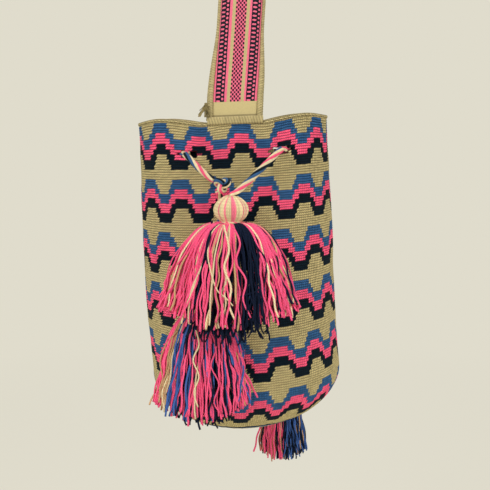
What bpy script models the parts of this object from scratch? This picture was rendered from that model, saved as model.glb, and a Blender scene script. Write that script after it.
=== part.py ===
"""A hand-crocheted shoulder bag: a drawstring bucket that hangs by its woven strap.

Metres, +Z up, +X to the right and -Y to the front. The origin is the hang point,
under the top of the strap's loop, and everything hangs below it.
"""

import math

import bmesh
import bpy
import numpy as np
from mathutils import Vector

# Gaps
SEAT_GAP = 0.0003
CORD_CLEARANCE = 0.001

# Pouch
MOUTH_CENTRE_X = -0.0125
LEAN = math.radians(2.4)
POUCH_HEIGHT = 0.326
MOUTH_HALF_WIDTH = 0.0965
MOUTH_HALF_DEPTH = 0.070
BELLY_HALF_WIDTH = 0.1005
BELLY_HALF_DEPTH = 0.0940
BASE_ROUNDING = 0.062
BASE_SQUARENESS = 2.0
BELLY_DRIFT = 0.003
WALL = 0.003
MOUTH_SQUARENESS = 2.6
BELLY_SQUARENESS = 2.05
WIDEST_SHARE = 0.4
BELLY_START_SHARE = 0.19
BELLY_END_SHARE = 0.81
SQUARE_SHARE = 0.5
DRIFT_SPREAD = 0.14
RIM_HUMP = 0.0033
RIM_HUMP_PLACE = 0.135
RIM_HUMP_WIDTH = 0.045
RIM_DIP = 0.0027
RIM_DIP_PLACE = 0.052
RIM_DIP_WIDTH = 0.028
RIM_SLACK_DEPTH = 0.03

# Crochet pattern, in stitches and in the height of one step of the waves
REPEATS = 15
STITCHES_PER_REPEAT = 16
RIM_EDGE = 0.003
STEP_HEIGHT = 0.00459
STEPS_PER_BAND = 11
BANDS = 6
WAVE_STEPS = 3
STRIPE_STEPS = 2
CORNER_STITCHES = (-3, 3, 5, 11)
PEAK_SHIFT = 0.31

# Strap
STRAP_RISE = 0.480
STRAP_THICKNESS = 0.003
BAND_HALF_WIDTH = 0.0208
SIDE_STRIPE_OUTER = 0.0194
SIDE_STRIPE_INNER = 0.0096
GAP_STRIPE = 0.0082
CENTRE_STRIPE = 0.005
EDGING_WIDTH = 0.0056
EDGING_THICKNESS = 0.0046
HOOK_RADIUS = 0.008
FLAT_HALF_WIDTH = 0.009
CURL_ANGLE = 1.48
STRAP_FOOT_X = -0.0093
STRAP_FOOT_SETBACK = 0.0012
JOIN_LAP = 0.0036
JOIN_THICKNESS = 0.0024

# Drawstrings
CORD_RADIUS = 0.00275
SLIT_WIDTH = 0.025
SLIT_HEIGHT = 0.0068
SLIT_DROP = 0.030
FRONT_SLITS = (-0.0440, 0.0450)
REAR_SLITS = (-0.0490, 0.0345)
CROSSING = 0.0042
CROSSING_HALF_LENGTH = 0.006
KNOT_SIZE = Vector((0.0085, 0.0070, 0.0085))

# Tassels
HEAD_HALF_WIDTH = 0.0162
HEAD_HALF_DEPTH = 0.0138
HEAD_HEIGHT = 0.0250
NECK_RADIUS = 0.0080
TIE_HEIGHT = 0.0050
TIE_THICKNESS = 0.0022
SKIRT_HALF_DEPTH = 0.0115
SKIRT_SPREAD = 0.35
SKIRT_BOW = 0.3
HEAD_ROUNDNESS = 0.6
RAGGED_ENDS = 0.003
END_RISE = 0.3
FLUTES = 16
FLUTE_DEPTH = 0.07
UPPER_SKIRT_HALF_WIDTH = 0.057
LOWER_SKIRT_HALF_WIDTH = 0.045
REAR_SKIRT_HALF_WIDTH = 0.033

RIM_CENTRE = Vector((MOUTH_CENTRE_X, 0, -STRAP_RISE))
DOWN = Vector((math.sin(LEAN), 0, -math.cos(LEAN)))
RIGHT = Vector((math.cos(LEAN), 0, math.sin(LEAN)))

YARNS = {
    "sand_yarn": (0.52, 0.42, 0.24),
    "denim_yarn": (0.035, 0.115, 0.28),
    "pink_yarn": (0.86, 0.09, 0.20),
    "navy_yarn": (0.008, 0.016, 0.035),
    "cream_yarn": (0.80, 0.64, 0.38),
}


def yarn(name):
    """One dyed yarn: a rough, dull surface with no metal in it."""
    material = bpy.data.materials.get(name)
    if material is None:
        material = bpy.data.materials.new(name)
        material.use_nodes = True
        shader = material.node_tree.nodes["Principled BSDF"]
        shader.inputs["Base Color"].default_value = (*YARNS[name], 1)
        shader.inputs["Roughness"].default_value = 0.9
        shader.inputs["Metallic"].default_value = 0.0
        material.diffuse_color = (*YARNS[name], 1)
    return material


def ease(value):
    """A smooth step from 0 to 1."""
    value = min(1.0, max(0.0, value))
    return value * value * (3 - 2 * value)


def place(name, bm, yarns):
    """Makes a bmesh into a smooth-shaded object that wears these yarns in slot order."""
    bmesh.ops.recalc_face_normals(bm, faces=bm.faces)
    mesh = bpy.data.meshes.new(name)
    bm.to_mesh(mesh)
    bm.free()
    for each in yarns:
        mesh.materials.append(yarn(each))
    mesh.shade_smooth()
    mesh.set_sharp_from_angle(angle=math.radians(40))
    made = bpy.data.objects.new(name, mesh)
    bpy.context.scene.collection.objects.link(made)
    return made


def skin(bm, rings, yarn_of=None):
    """Joins closed rings of points, first to last. A ring of one point is a pole."""
    loops = [[bm.verts.new(point) for point in ring] for ring in rings]
    for row, (upper, lower) in enumerate(zip(loops, loops[1:])):
        count = max(len(upper), len(lower))
        for column in range(count):
            after = (column + 1) % count
            corners = (upper[column % len(upper)], upper[after % len(upper)])
            corners += (lower[after % len(lower)], lower[column % len(lower)])
            face = bm.faces.new(list(dict.fromkeys(corners)))
            face.material_index = yarn_of(row, column) if yarn_of else 0
    for loop, turned in ((loops[0], 1), (loops[-1], -1)):
        if len(loop) > 1:
            bm.faces.new(loop[::turned])


# The pouch's shape


def half_sizes(drop, inset=0.0):
    """Half-width, half-depth and squareness of the pouch at this drop below its rim."""
    rounding = BASE_ROUNDING - inset
    into_base = max(0.0, drop - (POUCH_HEIGHT - BASE_ROUNDING)) / rounding
    closing = max(0.0, 1 - min(1.0, into_base) ** BASE_SQUARENESS) ** (1 / BASE_SQUARENESS)
    down = drop / POUCH_HEIGHT
    wide = ease(down / WIDEST_SHARE)
    full = ease((down - BELLY_START_SHARE) / (BELLY_END_SHARE - BELLY_START_SHARE))
    square = ease(down / SQUARE_SHARE)
    half_width = MOUTH_HALF_WIDTH + (BELLY_HALF_WIDTH - MOUTH_HALF_WIDTH) * wide - inset
    half_depth = MOUTH_HALF_DEPTH + (BELLY_HALF_DEPTH - MOUTH_HALF_DEPTH) * full - inset
    squareness = MOUTH_SQUARENESS + (BELLY_SQUARENESS - MOUTH_SQUARENESS) * square
    return half_width * closing, half_depth * closing, squareness


def section_table(drop, inset=0.0):
    """Places round the pouch's section at this drop, with the run along it from the front."""
    half_width, half_depth, squareness = half_sizes(drop, inset)
    turn = np.linspace(0, 2 * math.pi, 721)
    across = np.sin(turn)
    along = np.cos(turn)
    x = half_width * np.sign(across) * np.abs(across) ** (2 / squareness)
    x += BELLY_DRIFT * math.exp(-(((drop / POUCH_HEIGHT - BELLY_END_SHARE) / DRIFT_SPREAD) ** 2))
    y = -half_depth * np.sign(along) * np.abs(along) ** (2 / squareness)
    run = np.concatenate([[0], np.cumsum(np.hypot(np.diff(x), np.diff(y)))])
    return x, y, run


def rim_rise(share):
    """How far the slack rim rises or dips at this share of the way round, from the front."""
    away = abs((share + 0.25) % 0.5 - 0.25)
    hump = RIM_HUMP * math.exp(-(((away - RIM_HUMP_PLACE) / RIM_HUMP_WIDTH) ** 2))
    dip = RIM_DIP * math.exp(-(((away - RIM_DIP_PLACE) / RIM_DIP_WIDTH) ** 2))
    return hump - dip


def pouch_frame(point_x, point_y, drop):
    """A place in the pouch's own section, turned by the lean and set under the strap."""
    return RIM_CENTRE + RIGHT * point_x + Vector((0, point_y, 0)) + DOWN * drop


def wall_point(share, drop, inset=0.0):
    """A point of the wall at this share of the way round. Inset reaches into the pouch."""
    x, y, run = section_table(drop, inset)
    at = (share % 1.0) * run[-1]
    rise = rim_rise(share) * math.exp(-((drop / RIM_SLACK_DEPTH) ** 2))
    return pouch_frame(np.interp(at, run, x), np.interp(at, run, y), drop - rise)


def beside_wall(share, drop, outward):
    """A point that stands off the wall's outer face, level with this drop."""
    x, y, run = section_table(drop)
    at = (share % 1.0) * run[-1]
    ahead = ((share + 0.002) % 1.0) * run[-1]
    behind = ((share - 0.002) % 1.0) * run[-1]
    tangent = Vector(
        (
            np.interp(ahead, run, x) - np.interp(behind, run, x),
            np.interp(ahead, run, y) - np.interp(behind, run, y),
            0,
        )
    ).normalized()
    normal = Vector((tangent.y, -tangent.x, 0))
    spot = Vector((np.interp(at, run, x), np.interp(at, run, y), 0)) + normal * outward
    return pouch_frame(spot.x, spot.y, drop)


def share_of(run_from_front, drop=SLIT_DROP):
    """Turns a distance along the wall from the front's middle into a share of the way round."""
    return run_from_front / section_table(drop)[2][-1]


def drops_down_the_wall():
    """Drop below the rim against the length of wall above it, for the crochet rows."""
    drop = np.linspace(0, POUCH_HEIGHT, 400)
    reach = np.array([sum(half_sizes(each)[:2]) / 2 for each in drop])
    length = np.concatenate([[0], np.cumsum(np.hypot(np.diff(drop), np.diff(reach)))])
    return drop, length


WALL_DROPS, WALL_LENGTHS = drops_down_the_wall()
COLUMN_SHARES = [
    (repeat + PEAK_SHIFT + stitch / STITCHES_PER_REPEAT) / REPEATS
    for repeat in range(REPEATS)
    for stitch in CORNER_STITCHES
]


def wave_line(band, stripe):
    """One edge between two colours: high on the peaks, low in the dips, round the pouch."""
    line = []
    for column, share in enumerate(COLUMN_SHARES):
        on_peak = (column % 4 < 2) == (band % 2 == 0)
        steps = band * STEPS_PER_BAND + stripe * STRIPE_STEPS
        steps += 0 if on_peak else WAVE_STEPS
        length = RIM_EDGE + steps * STEP_HEIGHT
        drop = float(np.interp(length, WALL_LENGTHS, WALL_DROPS))
        line.append(wall_point(share, drop))
    return line


def base_ring(share_of_rounding, inset=0.0):
    drop = POUCH_HEIGHT - BASE_ROUNDING + (BASE_ROUNDING - inset) * share_of_rounding
    return [wall_point(share, drop, inset) for share in COLUMN_SHARES]


def slit_cutter(name, share):
    """A stadium-shaped plug that cuts one drawstring slit through the wall."""
    inside = beside_wall(share, SLIT_DROP, -3 * WALL)
    outside = beside_wall(share, SLIT_DROP, 3 * WALL)
    through = (outside - inside).normalized()
    level = DOWN.cross(through).normalized()
    straight = (SLIT_WIDTH - SLIT_HEIGHT) / 2
    outline = []
    for corner in range(16):
        turn = 2 * math.pi * (corner + 0.5) / 16
        along = math.copysign(straight, math.cos(turn)) + math.cos(turn) * SLIT_HEIGHT / 2
        outline.append(level * along + DOWN * (math.sin(turn) * SLIT_HEIGHT / 2))
    bm = bmesh.new()
    skin(bm, [[inside + spot for spot in outline], [outside + spot for spot in outline]])
    cutter = place(name, bm, ["sand_yarn"])
    cutter.hide_render = True
    cutter.display_type = "WIRE"
    return cutter


def make_pouch():
    """The crocheted bucket: one wall with its waves of colour, a rounded base, an open mouth."""
    rings = [[wall_point(share, 0) for share in COLUMN_SHARES]]
    lines = [(band, stripe) for band in range(BANDS) for stripe in range(4)]
    rings += [wave_line(band, stripe) for band, stripe in lines]
    wall_rows = len(rings)
    rings += [base_ring(share) for share in (0.86, 0.94, 0.985)]
    rings.append([pouch_frame(0, 0, POUCH_HEIGHT)])
    inner = [[pouch_frame(0, 0, POUCH_HEIGHT - WALL)]]
    inner += [base_ring(share, WALL) for share in (0.97, 0.88, 0.72, 0.5, 0.2)]
    for drop in (0.5 * POUCH_HEIGHT, 0.25 * POUCH_HEIGHT, SLIT_DROP, 0.0):
        inner.append([wall_point(share, drop, WALL) for share in COLUMN_SHARES])

    def yarn_of(row, _column):
        return (0, 1, 2, 3)[row % 4] if row < wall_rows - 1 else 0

    bm = bmesh.new()
    skin(bm, rings, yarn_of)
    skin(bm, inner)
    for ring in (rings[0], inner[-1]):
        caps = [face for face in bm.faces if len(face.verts) == len(ring)]
        bmesh.ops.delete(bm, geom=caps, context="FACES_ONLY")
    open_edges = [edge for edge in bm.edges if len(edge.link_faces) == 1]
    bmesh.ops.bridge_loops(bm, edges=open_edges)
    pouch = place("pouch", bm, ["sand_yarn", "denim_yarn", "pink_yarn", "navy_yarn"])
    slits = [share_of(run) for run in FRONT_SLITS] + [0.5 + share_of(run) for run in REAR_SLITS]
    for number, slit in enumerate(slits, 1):
        cut = pouch.modifiers.new(f"slit_{number}", "BOOLEAN")
        cut.operation = "DIFFERENCE"
        cut.solver = "EXACT"
        cut.object = slit_cutter(f"slit_cutter_{number}", slit)
    return pouch


# The strap


def strap_path(share):
    """Centre, way up and way out of the strap at this share of its loop, front foot to rear."""
    mirrored = share > 0.5
    share = 1 - share if mirrored else share
    radius = HOOK_RADIUS + STRAP_THICKNESS / 2
    foot_depth = MOUTH_HALF_DEPTH - WALL / 2 - STRAP_FOOT_SETBACK
    foot = Vector((-foot_depth, -STRAP_RISE + SEAT_GAP))
    centre = Vector((0, -HOOK_RADIUS))
    reach = foot - centre
    leaning = math.atan2(-reach.x, -reach.y)
    turn = leaning + math.acos(radius / reach.length)
    touch = centre + radius * Vector((-math.sin(turn), -math.cos(turn)))
    straight = (touch - foot).length
    start_angle = math.atan2(touch.y - centre.y, touch.x - centre.x)
    arc = radius * (start_angle - math.pi / 2)
    total = straight + arc
    run = share * 2 * total
    if run < straight:
        spot = foot.lerp(touch, run / straight)
        along = (touch - foot).normalized()
    else:
        angle = start_angle - (run - straight) / radius
        spot = centre + radius * Vector((math.cos(angle), math.sin(angle)))
        along = Vector((math.sin(angle), -math.cos(angle)))
    outward = Vector((-along.y, along.x))
    rising = min(1.0, run / total)
    point = Vector((STRAP_FOOT_X * (1 - rising) ** 3, spot.x, spot.y))
    up = Vector((0, along.x, along.y))
    out = Vector((0, outward.x, outward.y))
    if mirrored:
        point.y, up.y, out.y = -point.y, -up.y, -out.y
        up = -up
    return point, up, out, rising


def strap_curl(rising):
    """How far the strap's edges curl in: flat at its foot and towards the hook."""
    return ease((rising - 0.02) / 0.25) * (1 - ease((rising - 0.35) / 0.4))


def strap_side(rising):
    """The way across the strap: level with the rim at its foot, true above."""
    tilt = LEAN * (1 - rising) ** 6
    return Vector((math.cos(tilt), 0, math.sin(tilt)))


def strap_point(share, across, raised):
    """A point of the strap, across its width and raised off its middle layer, outwards."""
    point, up, out, rising = strap_path(share)
    side = strap_side(rising)
    beyond = max(0.0, abs(across) - FLAT_HALF_WIDTH)
    curling = BAND_HALF_WIDTH + EDGING_WIDTH - FLAT_HALF_WIDTH
    angle = CURL_ANGLE * strap_curl(rising) * beyond / curling
    if angle > 1e-6:
        radius = beyond / angle
        sideways = radius * math.sin(angle)
        inward = radius * (1 - math.cos(angle))
    else:
        sideways, inward = beyond, 0.0
    sign = math.copysign(1, across)
    level = min(abs(across), FLAT_HALF_WIDTH) + sideways
    face = out * math.cos(angle) + side * (sign * math.sin(angle))
    return point + side * (sign * level) - out * inward + face * raised


def strap_shares(steps):
    """Stations along the loop, closer together where it turns over the hook."""
    return [0.5 + 0.5 * math.copysign(abs(spot) ** 1.35, spot) for spot in np.linspace(-1, 1, steps)]


def make_strap():
    """The woven band of the strap, with its three stripes running the whole loop."""
    half = (CENTRE_STRIPE, GAP_STRIPE, SIDE_STRIPE_INNER, SIDE_STRIPE_OUTER, BAND_HALF_WIDTH)
    across = [-edge for edge in half[::-1]] + list(half)
    yarns = (1, 2, 1, 0, 1, 0, 1, 2, 1)
    thick = STRAP_THICKNESS / 2
    rings = []
    for share in strap_shares(41):
        outer = [strap_point(share, edge, thick) for edge in across]
        inner = [strap_point(share, edge, -thick) for edge in across[::-1]]
        rings.append(outer + inner)

    def yarn_of(_row, column):
        strip = column if column < len(across) - 1 else 2 * len(across) - 2 - column
        return yarns[strip] if 0 <= strip < len(yarns) else 0

    bm = bmesh.new()
    skin(bm, rings, yarn_of)
    return place("shoulder_strap", bm, ["sand_yarn", "pink_yarn", "navy_yarn"])


def make_strap_edging(name, side):
    """The rolled crochet edge along one side of the strap."""
    middle = BAND_HALF_WIDTH + SEAT_GAP + EDGING_WIDTH / 2
    rings = []
    for share in strap_shares(41):
        ring = []
        for corner in range(8):
            turn = 2 * math.pi * (corner + 0.5) / 8
            across = side * (middle + EDGING_WIDTH / 2 * math.cos(turn))
            ring.append(strap_point(share, across, EDGING_THICKNESS / 2 * math.sin(turn)))
        rings.append(ring)
    bm = bmesh.new()
    skin(bm, rings)
    return place(name, bm, ["sand_yarn"])


def make_strap_join(name, front):
    """The ribbed crochet seam that laps over the rim and the strap's foot, outside the wall."""
    half = BAND_HALF_WIDTH + EDGING_WIDTH
    rings = []
    for step in range(13):
        across = half * (step / 6 - 1)
        run = (STRAP_FOOT_X - MOUTH_CENTRE_X + across) * (1 if front else -1)
        share = share_of(run, 0.0) + (0 if front else 0.5)
        low_in = beside_wall(share, JOIN_LAP, 2 * SEAT_GAP)
        low_out = beside_wall(share, JOIN_LAP, JOIN_THICKNESS / 2)
        mid_out = beside_wall(share, 0, JOIN_THICKNESS)
        high_in = beside_wall(share, 0, 2 * SEAT_GAP) - DOWN * JOIN_LAP
        high_out = beside_wall(share, 0, JOIN_THICKNESS / 2) - DOWN * JOIN_LAP
        rings.append([low_in, low_out, mid_out, high_out, high_in])
    bm = bmesh.new()
    skin(bm, rings)
    return place(name, bm, ["sand_yarn"])


# The drawstrings


def smooth_route(points, spacing):
    """Evenly spaced points on a smooth curve through the points of a route."""
    points = [Vector(point) for point in points]
    ends = [2 * points[0] - points[1], *points, 2 * points[-1] - points[-2]]
    fine = []
    for before, start, end, after in zip(ends, ends[1:], ends[2:], ends[3:]):
        for step in range(20):
            part = step / 20
            fine.append(
                0.5
                * (
                    2 * start
                    + (end - before) * part
                    + (2 * before - 5 * start + 4 * end - after) * part**2
                    + (3 * start - before - 3 * end + after) * part**3
                )
            )
    fine.append(points[-1])
    lengths = [0.0]
    for start, end in zip(fine, fine[1:]):
        lengths.append(lengths[-1] + (end - start).length)
    count = max(2, round(lengths[-1] / spacing))
    coordinates = np.array(fine)
    wanted = np.linspace(0, lengths[-1], count + 1)
    return [Vector(np.interp(each, lengths, axis) for axis in coordinates.T) for each in wanted]


def make_cord(name, route, spacing=2.2 * 2 * CORD_RADIUS):
    """One stretch of the twisted drawstring, as a tube along its route."""
    curve = bpy.data.curves.new(name, "CURVE")
    curve.dimensions = "3D"
    curve.bevel_depth = CORD_RADIUS
    curve.bevel_resolution = 2
    curve.use_fill_caps = True
    points = smooth_route(route, spacing)
    spline = curve.splines.new("POLY")
    spline.points.add(len(points) - 1)
    for spot, point in zip(spline.points, points):
        spot.co = (*point, 1)
    curve.materials.append(yarn("cream_yarn"))
    made = bpy.data.objects.new(name, curve)
    bpy.context.scene.collection.objects.link(made)
    return made


def tie_point(slit, toward_side, run):
    """A place on the drawstring just outside its slit, this far back from the pouch's side."""
    share = slit - toward_side * share_of(run)
    return beside_wall(share, SLIT_DROP, CORD_RADIUS + CORD_CLEARANCE)


def through_slit(slit, toward_side):
    """The route through one slit: along the outside, slantwise through the wall, then inside."""
    inside = -(WALL + CORD_RADIUS + 2 * CORD_CLEARANCE)
    outer_end = CROSSING_HALF_LENGTH - CROSSING
    crossing = slit + toward_side * share_of(CROSSING)
    inner_end = slit + toward_side * share_of(CROSSING + CROSSING_HALF_LENGTH)
    return [
        tie_point(slit, toward_side, outer_end + 0.001),
        tie_point(slit, toward_side, outer_end - 0.0005),
        beside_wall(crossing, SLIT_DROP, -WALL / 2),
        beside_wall(inner_end, SLIT_DROP, inside),
    ]


def make_inside_run(name, front, rear):
    """The drawstring inside one side of the pouch, out through a slit at each end."""
    way = math.copysign(1, rear - front)
    inside = -(WALL + CORD_RADIUS + 2 * CORD_CLEARANCE)
    bare = share_of(CROSSING + 2 * CROSSING_HALF_LENGTH)
    turns = np.linspace(front + way * bare, rear - way * bare, 12)
    route = through_slit(front, way)
    route += [beside_wall(float(turn), SLIT_DROP, inside) for turn in turns]
    route += through_slit(rear, -way)[::-1]
    return make_cord(name, route)


def make_knot(name, centre):
    """A pulled-up overhand knot: a fat ring of cord with a dimple where the ends pass."""
    rings = []
    for row in range(1, 8):
        tall = math.pi * row / 8
        ring = []
        for corner in range(14):
            turn = 2 * math.pi * corner / 14
            swell = 1 + 0.10 * math.cos(3 * turn + 2 * tall) * math.sin(tall)
            ring.append(
                centre
                + Vector(
                    (
                        KNOT_SIZE.x * swell * math.sin(tall) * math.cos(turn),
                        KNOT_SIZE.y * swell * math.sin(tall) * math.sin(turn),
                        KNOT_SIZE.z * math.cos(tall),
                    )
                )
            )
        rings.append(ring)
    poles = [[centre + Vector((0, 0, KNOT_SIZE.z))], [centre - Vector((0, 0, KNOT_SIZE.z))]]
    bm = bmesh.new()
    skin(bm, [poles[0], *rings, poles[1]])
    return place(name, bm, ["cream_yarn"])


# The tassels


def make_tassel(name, top, foot, half_width, bundles):
    """A bound bundle of yarn: a round head, a tight neck and a skirt of cut ends."""
    neck = top - Vector((0, 0, HEAD_HEIGHT))
    rings = [[top]]
    for share in (0.12, 0.4, 0.7, 0.88):
        height = math.sin(math.pi * (share * 0.82 + 0.02))
        pinch = NECK_RADIUS * share
        size = (
            max(pinch, HEAD_HALF_WIDTH * height**HEAD_ROUNDNESS),
            max(pinch, HEAD_HALF_DEPTH * height**HEAD_ROUNDNESS),
        )
        rings.append(fluted_ring(top - Vector((0, 0, share * (HEAD_HEIGHT - TIE_HEIGHT / 2))), *size))
    for share in (0.5, -0.5):
        middle = neck + Vector((0, 0, share * TIE_HEIGHT * 1.1))
        rings.append(fluted_ring(middle, NECK_RADIUS, NECK_RADIUS, depth=0.0))
    for share in (0.04, 0.14, 0.34, 0.66, 1.0):
        middle = neck.lerp(foot, share)
        spread = share**SKIRT_SPREAD
        middle += Vector((0, (foot.y - neck.y) * (spread - share) * SKIRT_BOW, 0))
        wide = NECK_RADIUS + (half_width - NECK_RADIUS) * spread
        deep = NECK_RADIUS + (SKIRT_HALF_DEPTH - NECK_RADIUS) * spread
        cut = (RAGGED_ENDS, END_RISE * half_width) if share == 1.0 else (0.0, 0.0)
        rings.append(fluted_ring(middle, wide, deep, cut=cut))
    rings.append([foot + Vector((0, 0, 0.004))])

    def yarn_of(_row, column):
        return bundles[column * len(bundles) // (2 * FLUTES)]

    bm = bmesh.new()
    skin(bm, rings, yarn_of)
    yarns = ["pink_yarn", "cream_yarn", "navy_yarn", "denim_yarn"]
    return place(name, bm, yarns)


def fluted_ring(centre, half_width, half_depth, depth=FLUTE_DEPTH, cut=(0.0, 0.0)):
    """One round of a tassel; where it is cut, its ends are ragged and rise at the sides."""
    ragged, rise = cut
    ring = []
    for corner in range(2 * FLUTES):
        turn = 2 * math.pi * (corner + 0.5) / (2 * FLUTES)
        swell = 1 - depth * (corner % 2)
        drop = ragged * math.sin(5 * turn) + rise * math.sin(turn) ** 2
        ring.append(
            centre
            + Vector(
                (
                    half_width * swell * math.sin(turn),
                    -half_depth * swell * math.cos(turn),
                    drop,
                )
            )
        )
    return ring


def make_neck_tie(name, top):
    """The yarn wrapped round a tassel's neck, lying in the groove under its head."""
    neck = top - Vector((0, 0, HEAD_HEIGHT))
    inner = NECK_RADIUS + SEAT_GAP
    sections = (
        (inner, 0.5),
        (inner + TIE_THICKNESS * 0.7, 0.5),
        (inner + TIE_THICKNESS, 0.0),
        (inner + TIE_THICKNESS * 0.7, -0.5),
        (inner, -0.5),
    )
    bm = bmesh.new()
    rows = []
    for radius, height in sections:
        row = []
        for corner in range(16):
            turn = 2 * math.pi * corner / 16
            spot = Vector((radius * math.cos(turn), radius * math.sin(turn), height * TIE_HEIGHT))
            row.append(bm.verts.new(neck + spot))
        rows.append(row)
    for upper, lower in zip(rows, rows[1:] + rows[:1]):
        for corner in range(16):
            after = (corner + 1) % 16
            bm.faces.new((upper[corner], upper[after], lower[after], lower[corner]))
    return place(name, bm, ["cream_yarn"])


# Each cord's route, by hand, from the slit to the knot or the tassel, or from the knot to a
# tassel. All these places are measured from the drawstring's level, at the middle of the
# mouth's front or rear.
CORD_ROUTES = {
    "front_cord_left": (
        (-0.0390, -0.0009, -0.0018),
        (-0.0372, -0.0015, -0.0021),
        (-0.0354, -0.0026, -0.0027),
        (-0.0337, -0.0040, -0.0036),
        (-0.0322, -0.0056, -0.0049),
        (-0.0286, -0.0110, -0.0096),
        (-0.0244, -0.0166, -0.0145),
        (-0.0202, -0.0221, -0.0193),
        (-0.0160, -0.0277, -0.0241),
    ),
    "front_cord_right": (
        (0.0425, -0.0008, 0.0018),
        (0.0406, -0.0014, 0.0015),
        (0.0388, -0.0021, 0.0007),
        (0.0370, -0.0032, -0.0004),
        (0.0353, -0.0046, -0.0018),
        (0.0290, -0.0100, -0.0070),
        (0.0228, -0.0153, -0.0120),
        (0.0165, -0.0205, -0.0167),
        (0.0103, -0.0257, -0.0209),
        (0.0040, -0.0310, -0.0250),
        (0.0015, -0.0350, -0.0306),
        (-0.0003, -0.0336, -0.0379),
    ),
    "front_lower_lead": (
        (-0.0125, -0.0234, -0.0361),
        (-0.0145, -0.0170, -0.0460),
        (-0.0170, -0.0130, -0.0640),
        (-0.0205, -0.0160, -0.0840),
        (-0.0237, -0.0230, -0.1030),
        (-0.0260, -0.0300, -0.1170),
        (-0.0265, -0.0330, -0.1237),
    ),
    "rear_cord_left": (
        (-0.0283, 0.0024, -0.0012),
        (-0.0258, 0.0029, -0.0014),
        (-0.0215, 0.0050, -0.0060),
        (-0.0120, 0.0092, -0.0240),
        (0.0040, 0.0167, -0.0620),
        (0.0190, 0.0250, -0.1050),
        (0.0285, 0.0325, -0.1410),
        (0.0360, 0.0410, -0.1570),
        (0.0415, 0.0486, -0.1690),
        (0.0435, 0.0480, -0.1802),
    ),
    "rear_cord_right": (
        (0.0448, -0.0001, 0.0020),
        (0.0424, 0.0005, 0.0019),
        (0.0405, 0.0024, -0.0022),
        (0.0405, 0.0064, -0.0157),
        (0.0440, 0.0125, -0.0460),
        (0.0505, 0.0210, -0.0850),
        (0.0535, 0.0285, -0.1300),
        (0.0510, 0.0335, -0.1540),
        (0.0477, 0.0353, -0.1645),
    ),
    "rear_lower_lead": (
        (0.0470, 0.0342, -0.1792),
        (0.0495, 0.0310, -0.1880),
        (0.0515, 0.0298, -0.2050),
        (0.0530, 0.0305, -0.2250),
        (0.0545, 0.0315, -0.2460),
        (0.0555, 0.0327, -0.2640),
    ),
}
KNOTS = {
    "front_knot": (-0.0085, -0.0280, -0.0300),
    "rear_knot": (0.0435, 0.0380, -0.1720),
}
# Each tassel's top, the middle of its cut ends, its half-width and its bundles of yarn
TASSELS = {
    "front_upper_tassel": (
        (-0.0005, -0.0330, -0.0387),
        (-0.0025, -0.0670, -0.1630),
        UPPER_SKIRT_HALF_WIDTH,
        (0, 1, 0, 2, 0, 1, 0, 2, 0, 1, 0, 0, 1, 0, 2, 0),
    ),
    "front_lower_tassel": (
        (-0.0265, -0.0340, -0.1245),
        (-0.0285, -0.0465, -0.2515),
        LOWER_SKIRT_HALF_WIDTH,
        (0, 3, 0, 2, 1, 0, 3, 0, 2, 0, 3, 1, 0, 2, 0, 3),
    ),
    "rear_upper_tassel": (
        (0.0435, 0.0480, -0.1810),
        (0.0435, 0.0680, -0.3050),
        UPPER_SKIRT_HALF_WIDTH,
        (0, 1, 0, 2, 0, 1, 0, 2, 0, 1, 0, 0, 1, 0, 2, 0),
    ),
    "rear_lower_tassel": (
        (0.0555, 0.0330, -0.2648),
        (0.0580, 0.0330, -0.3880),
        REAR_SKIRT_HALF_WIDTH,
        (2, 3, 2, 0, 1, 0, 0, 1, 0, 0, 1, 0, 2, 3, 2, 3),
    ),
}


def hung(name, place):
    """Turns a place measured from the drawstring's level into a place in the whole bag."""
    depth = MOUTH_HALF_DEPTH if name.startswith("rear") else -MOUTH_HALF_DEPTH
    return Vector((MOUTH_CENTRE_X, depth, -STRAP_RISE - SLIT_DROP)) + Vector(place)


def clear_scene():
    for old in list(bpy.data.objects):
        bpy.data.objects.remove(old, do_unlink=True)


def main():
    clear_scene()
    make_pouch()
    make_strap()
    make_strap_edging("strap_edging_left", -1)
    make_strap_edging("strap_edging_right", 1)
    make_strap_join("strap_join_front", True)
    make_strap_join("strap_join_rear", False)
    front_left, front_right = (share_of(run) for run in FRONT_SLITS)
    rear_right, rear_left = (0.5 + share_of(run) for run in REAR_SLITS)
    make_inside_run("drawstring_run_left", front_left, rear_left - 1)
    make_inside_run("drawstring_run_right", front_right, rear_right)
    for name, route in CORD_ROUTES.items():
        make_cord(name, [hung(name, place) for place in route])
    for name, centre in KNOTS.items():
        make_knot(name, hung(name, centre))
    for name, (top, foot, half_width, bundles) in TASSELS.items():
        make_tassel(name, hung(name, top), hung(name, foot), half_width, bundles)
        make_neck_tie(f"{name}_tie", hung(name, top))


main()
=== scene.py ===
"""A hand-crocheted shoulder bag that hangs by its woven strap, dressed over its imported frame."""

import math
import random

import bmesh
import bpy
import numpy as np
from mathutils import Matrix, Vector, noise


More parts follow.
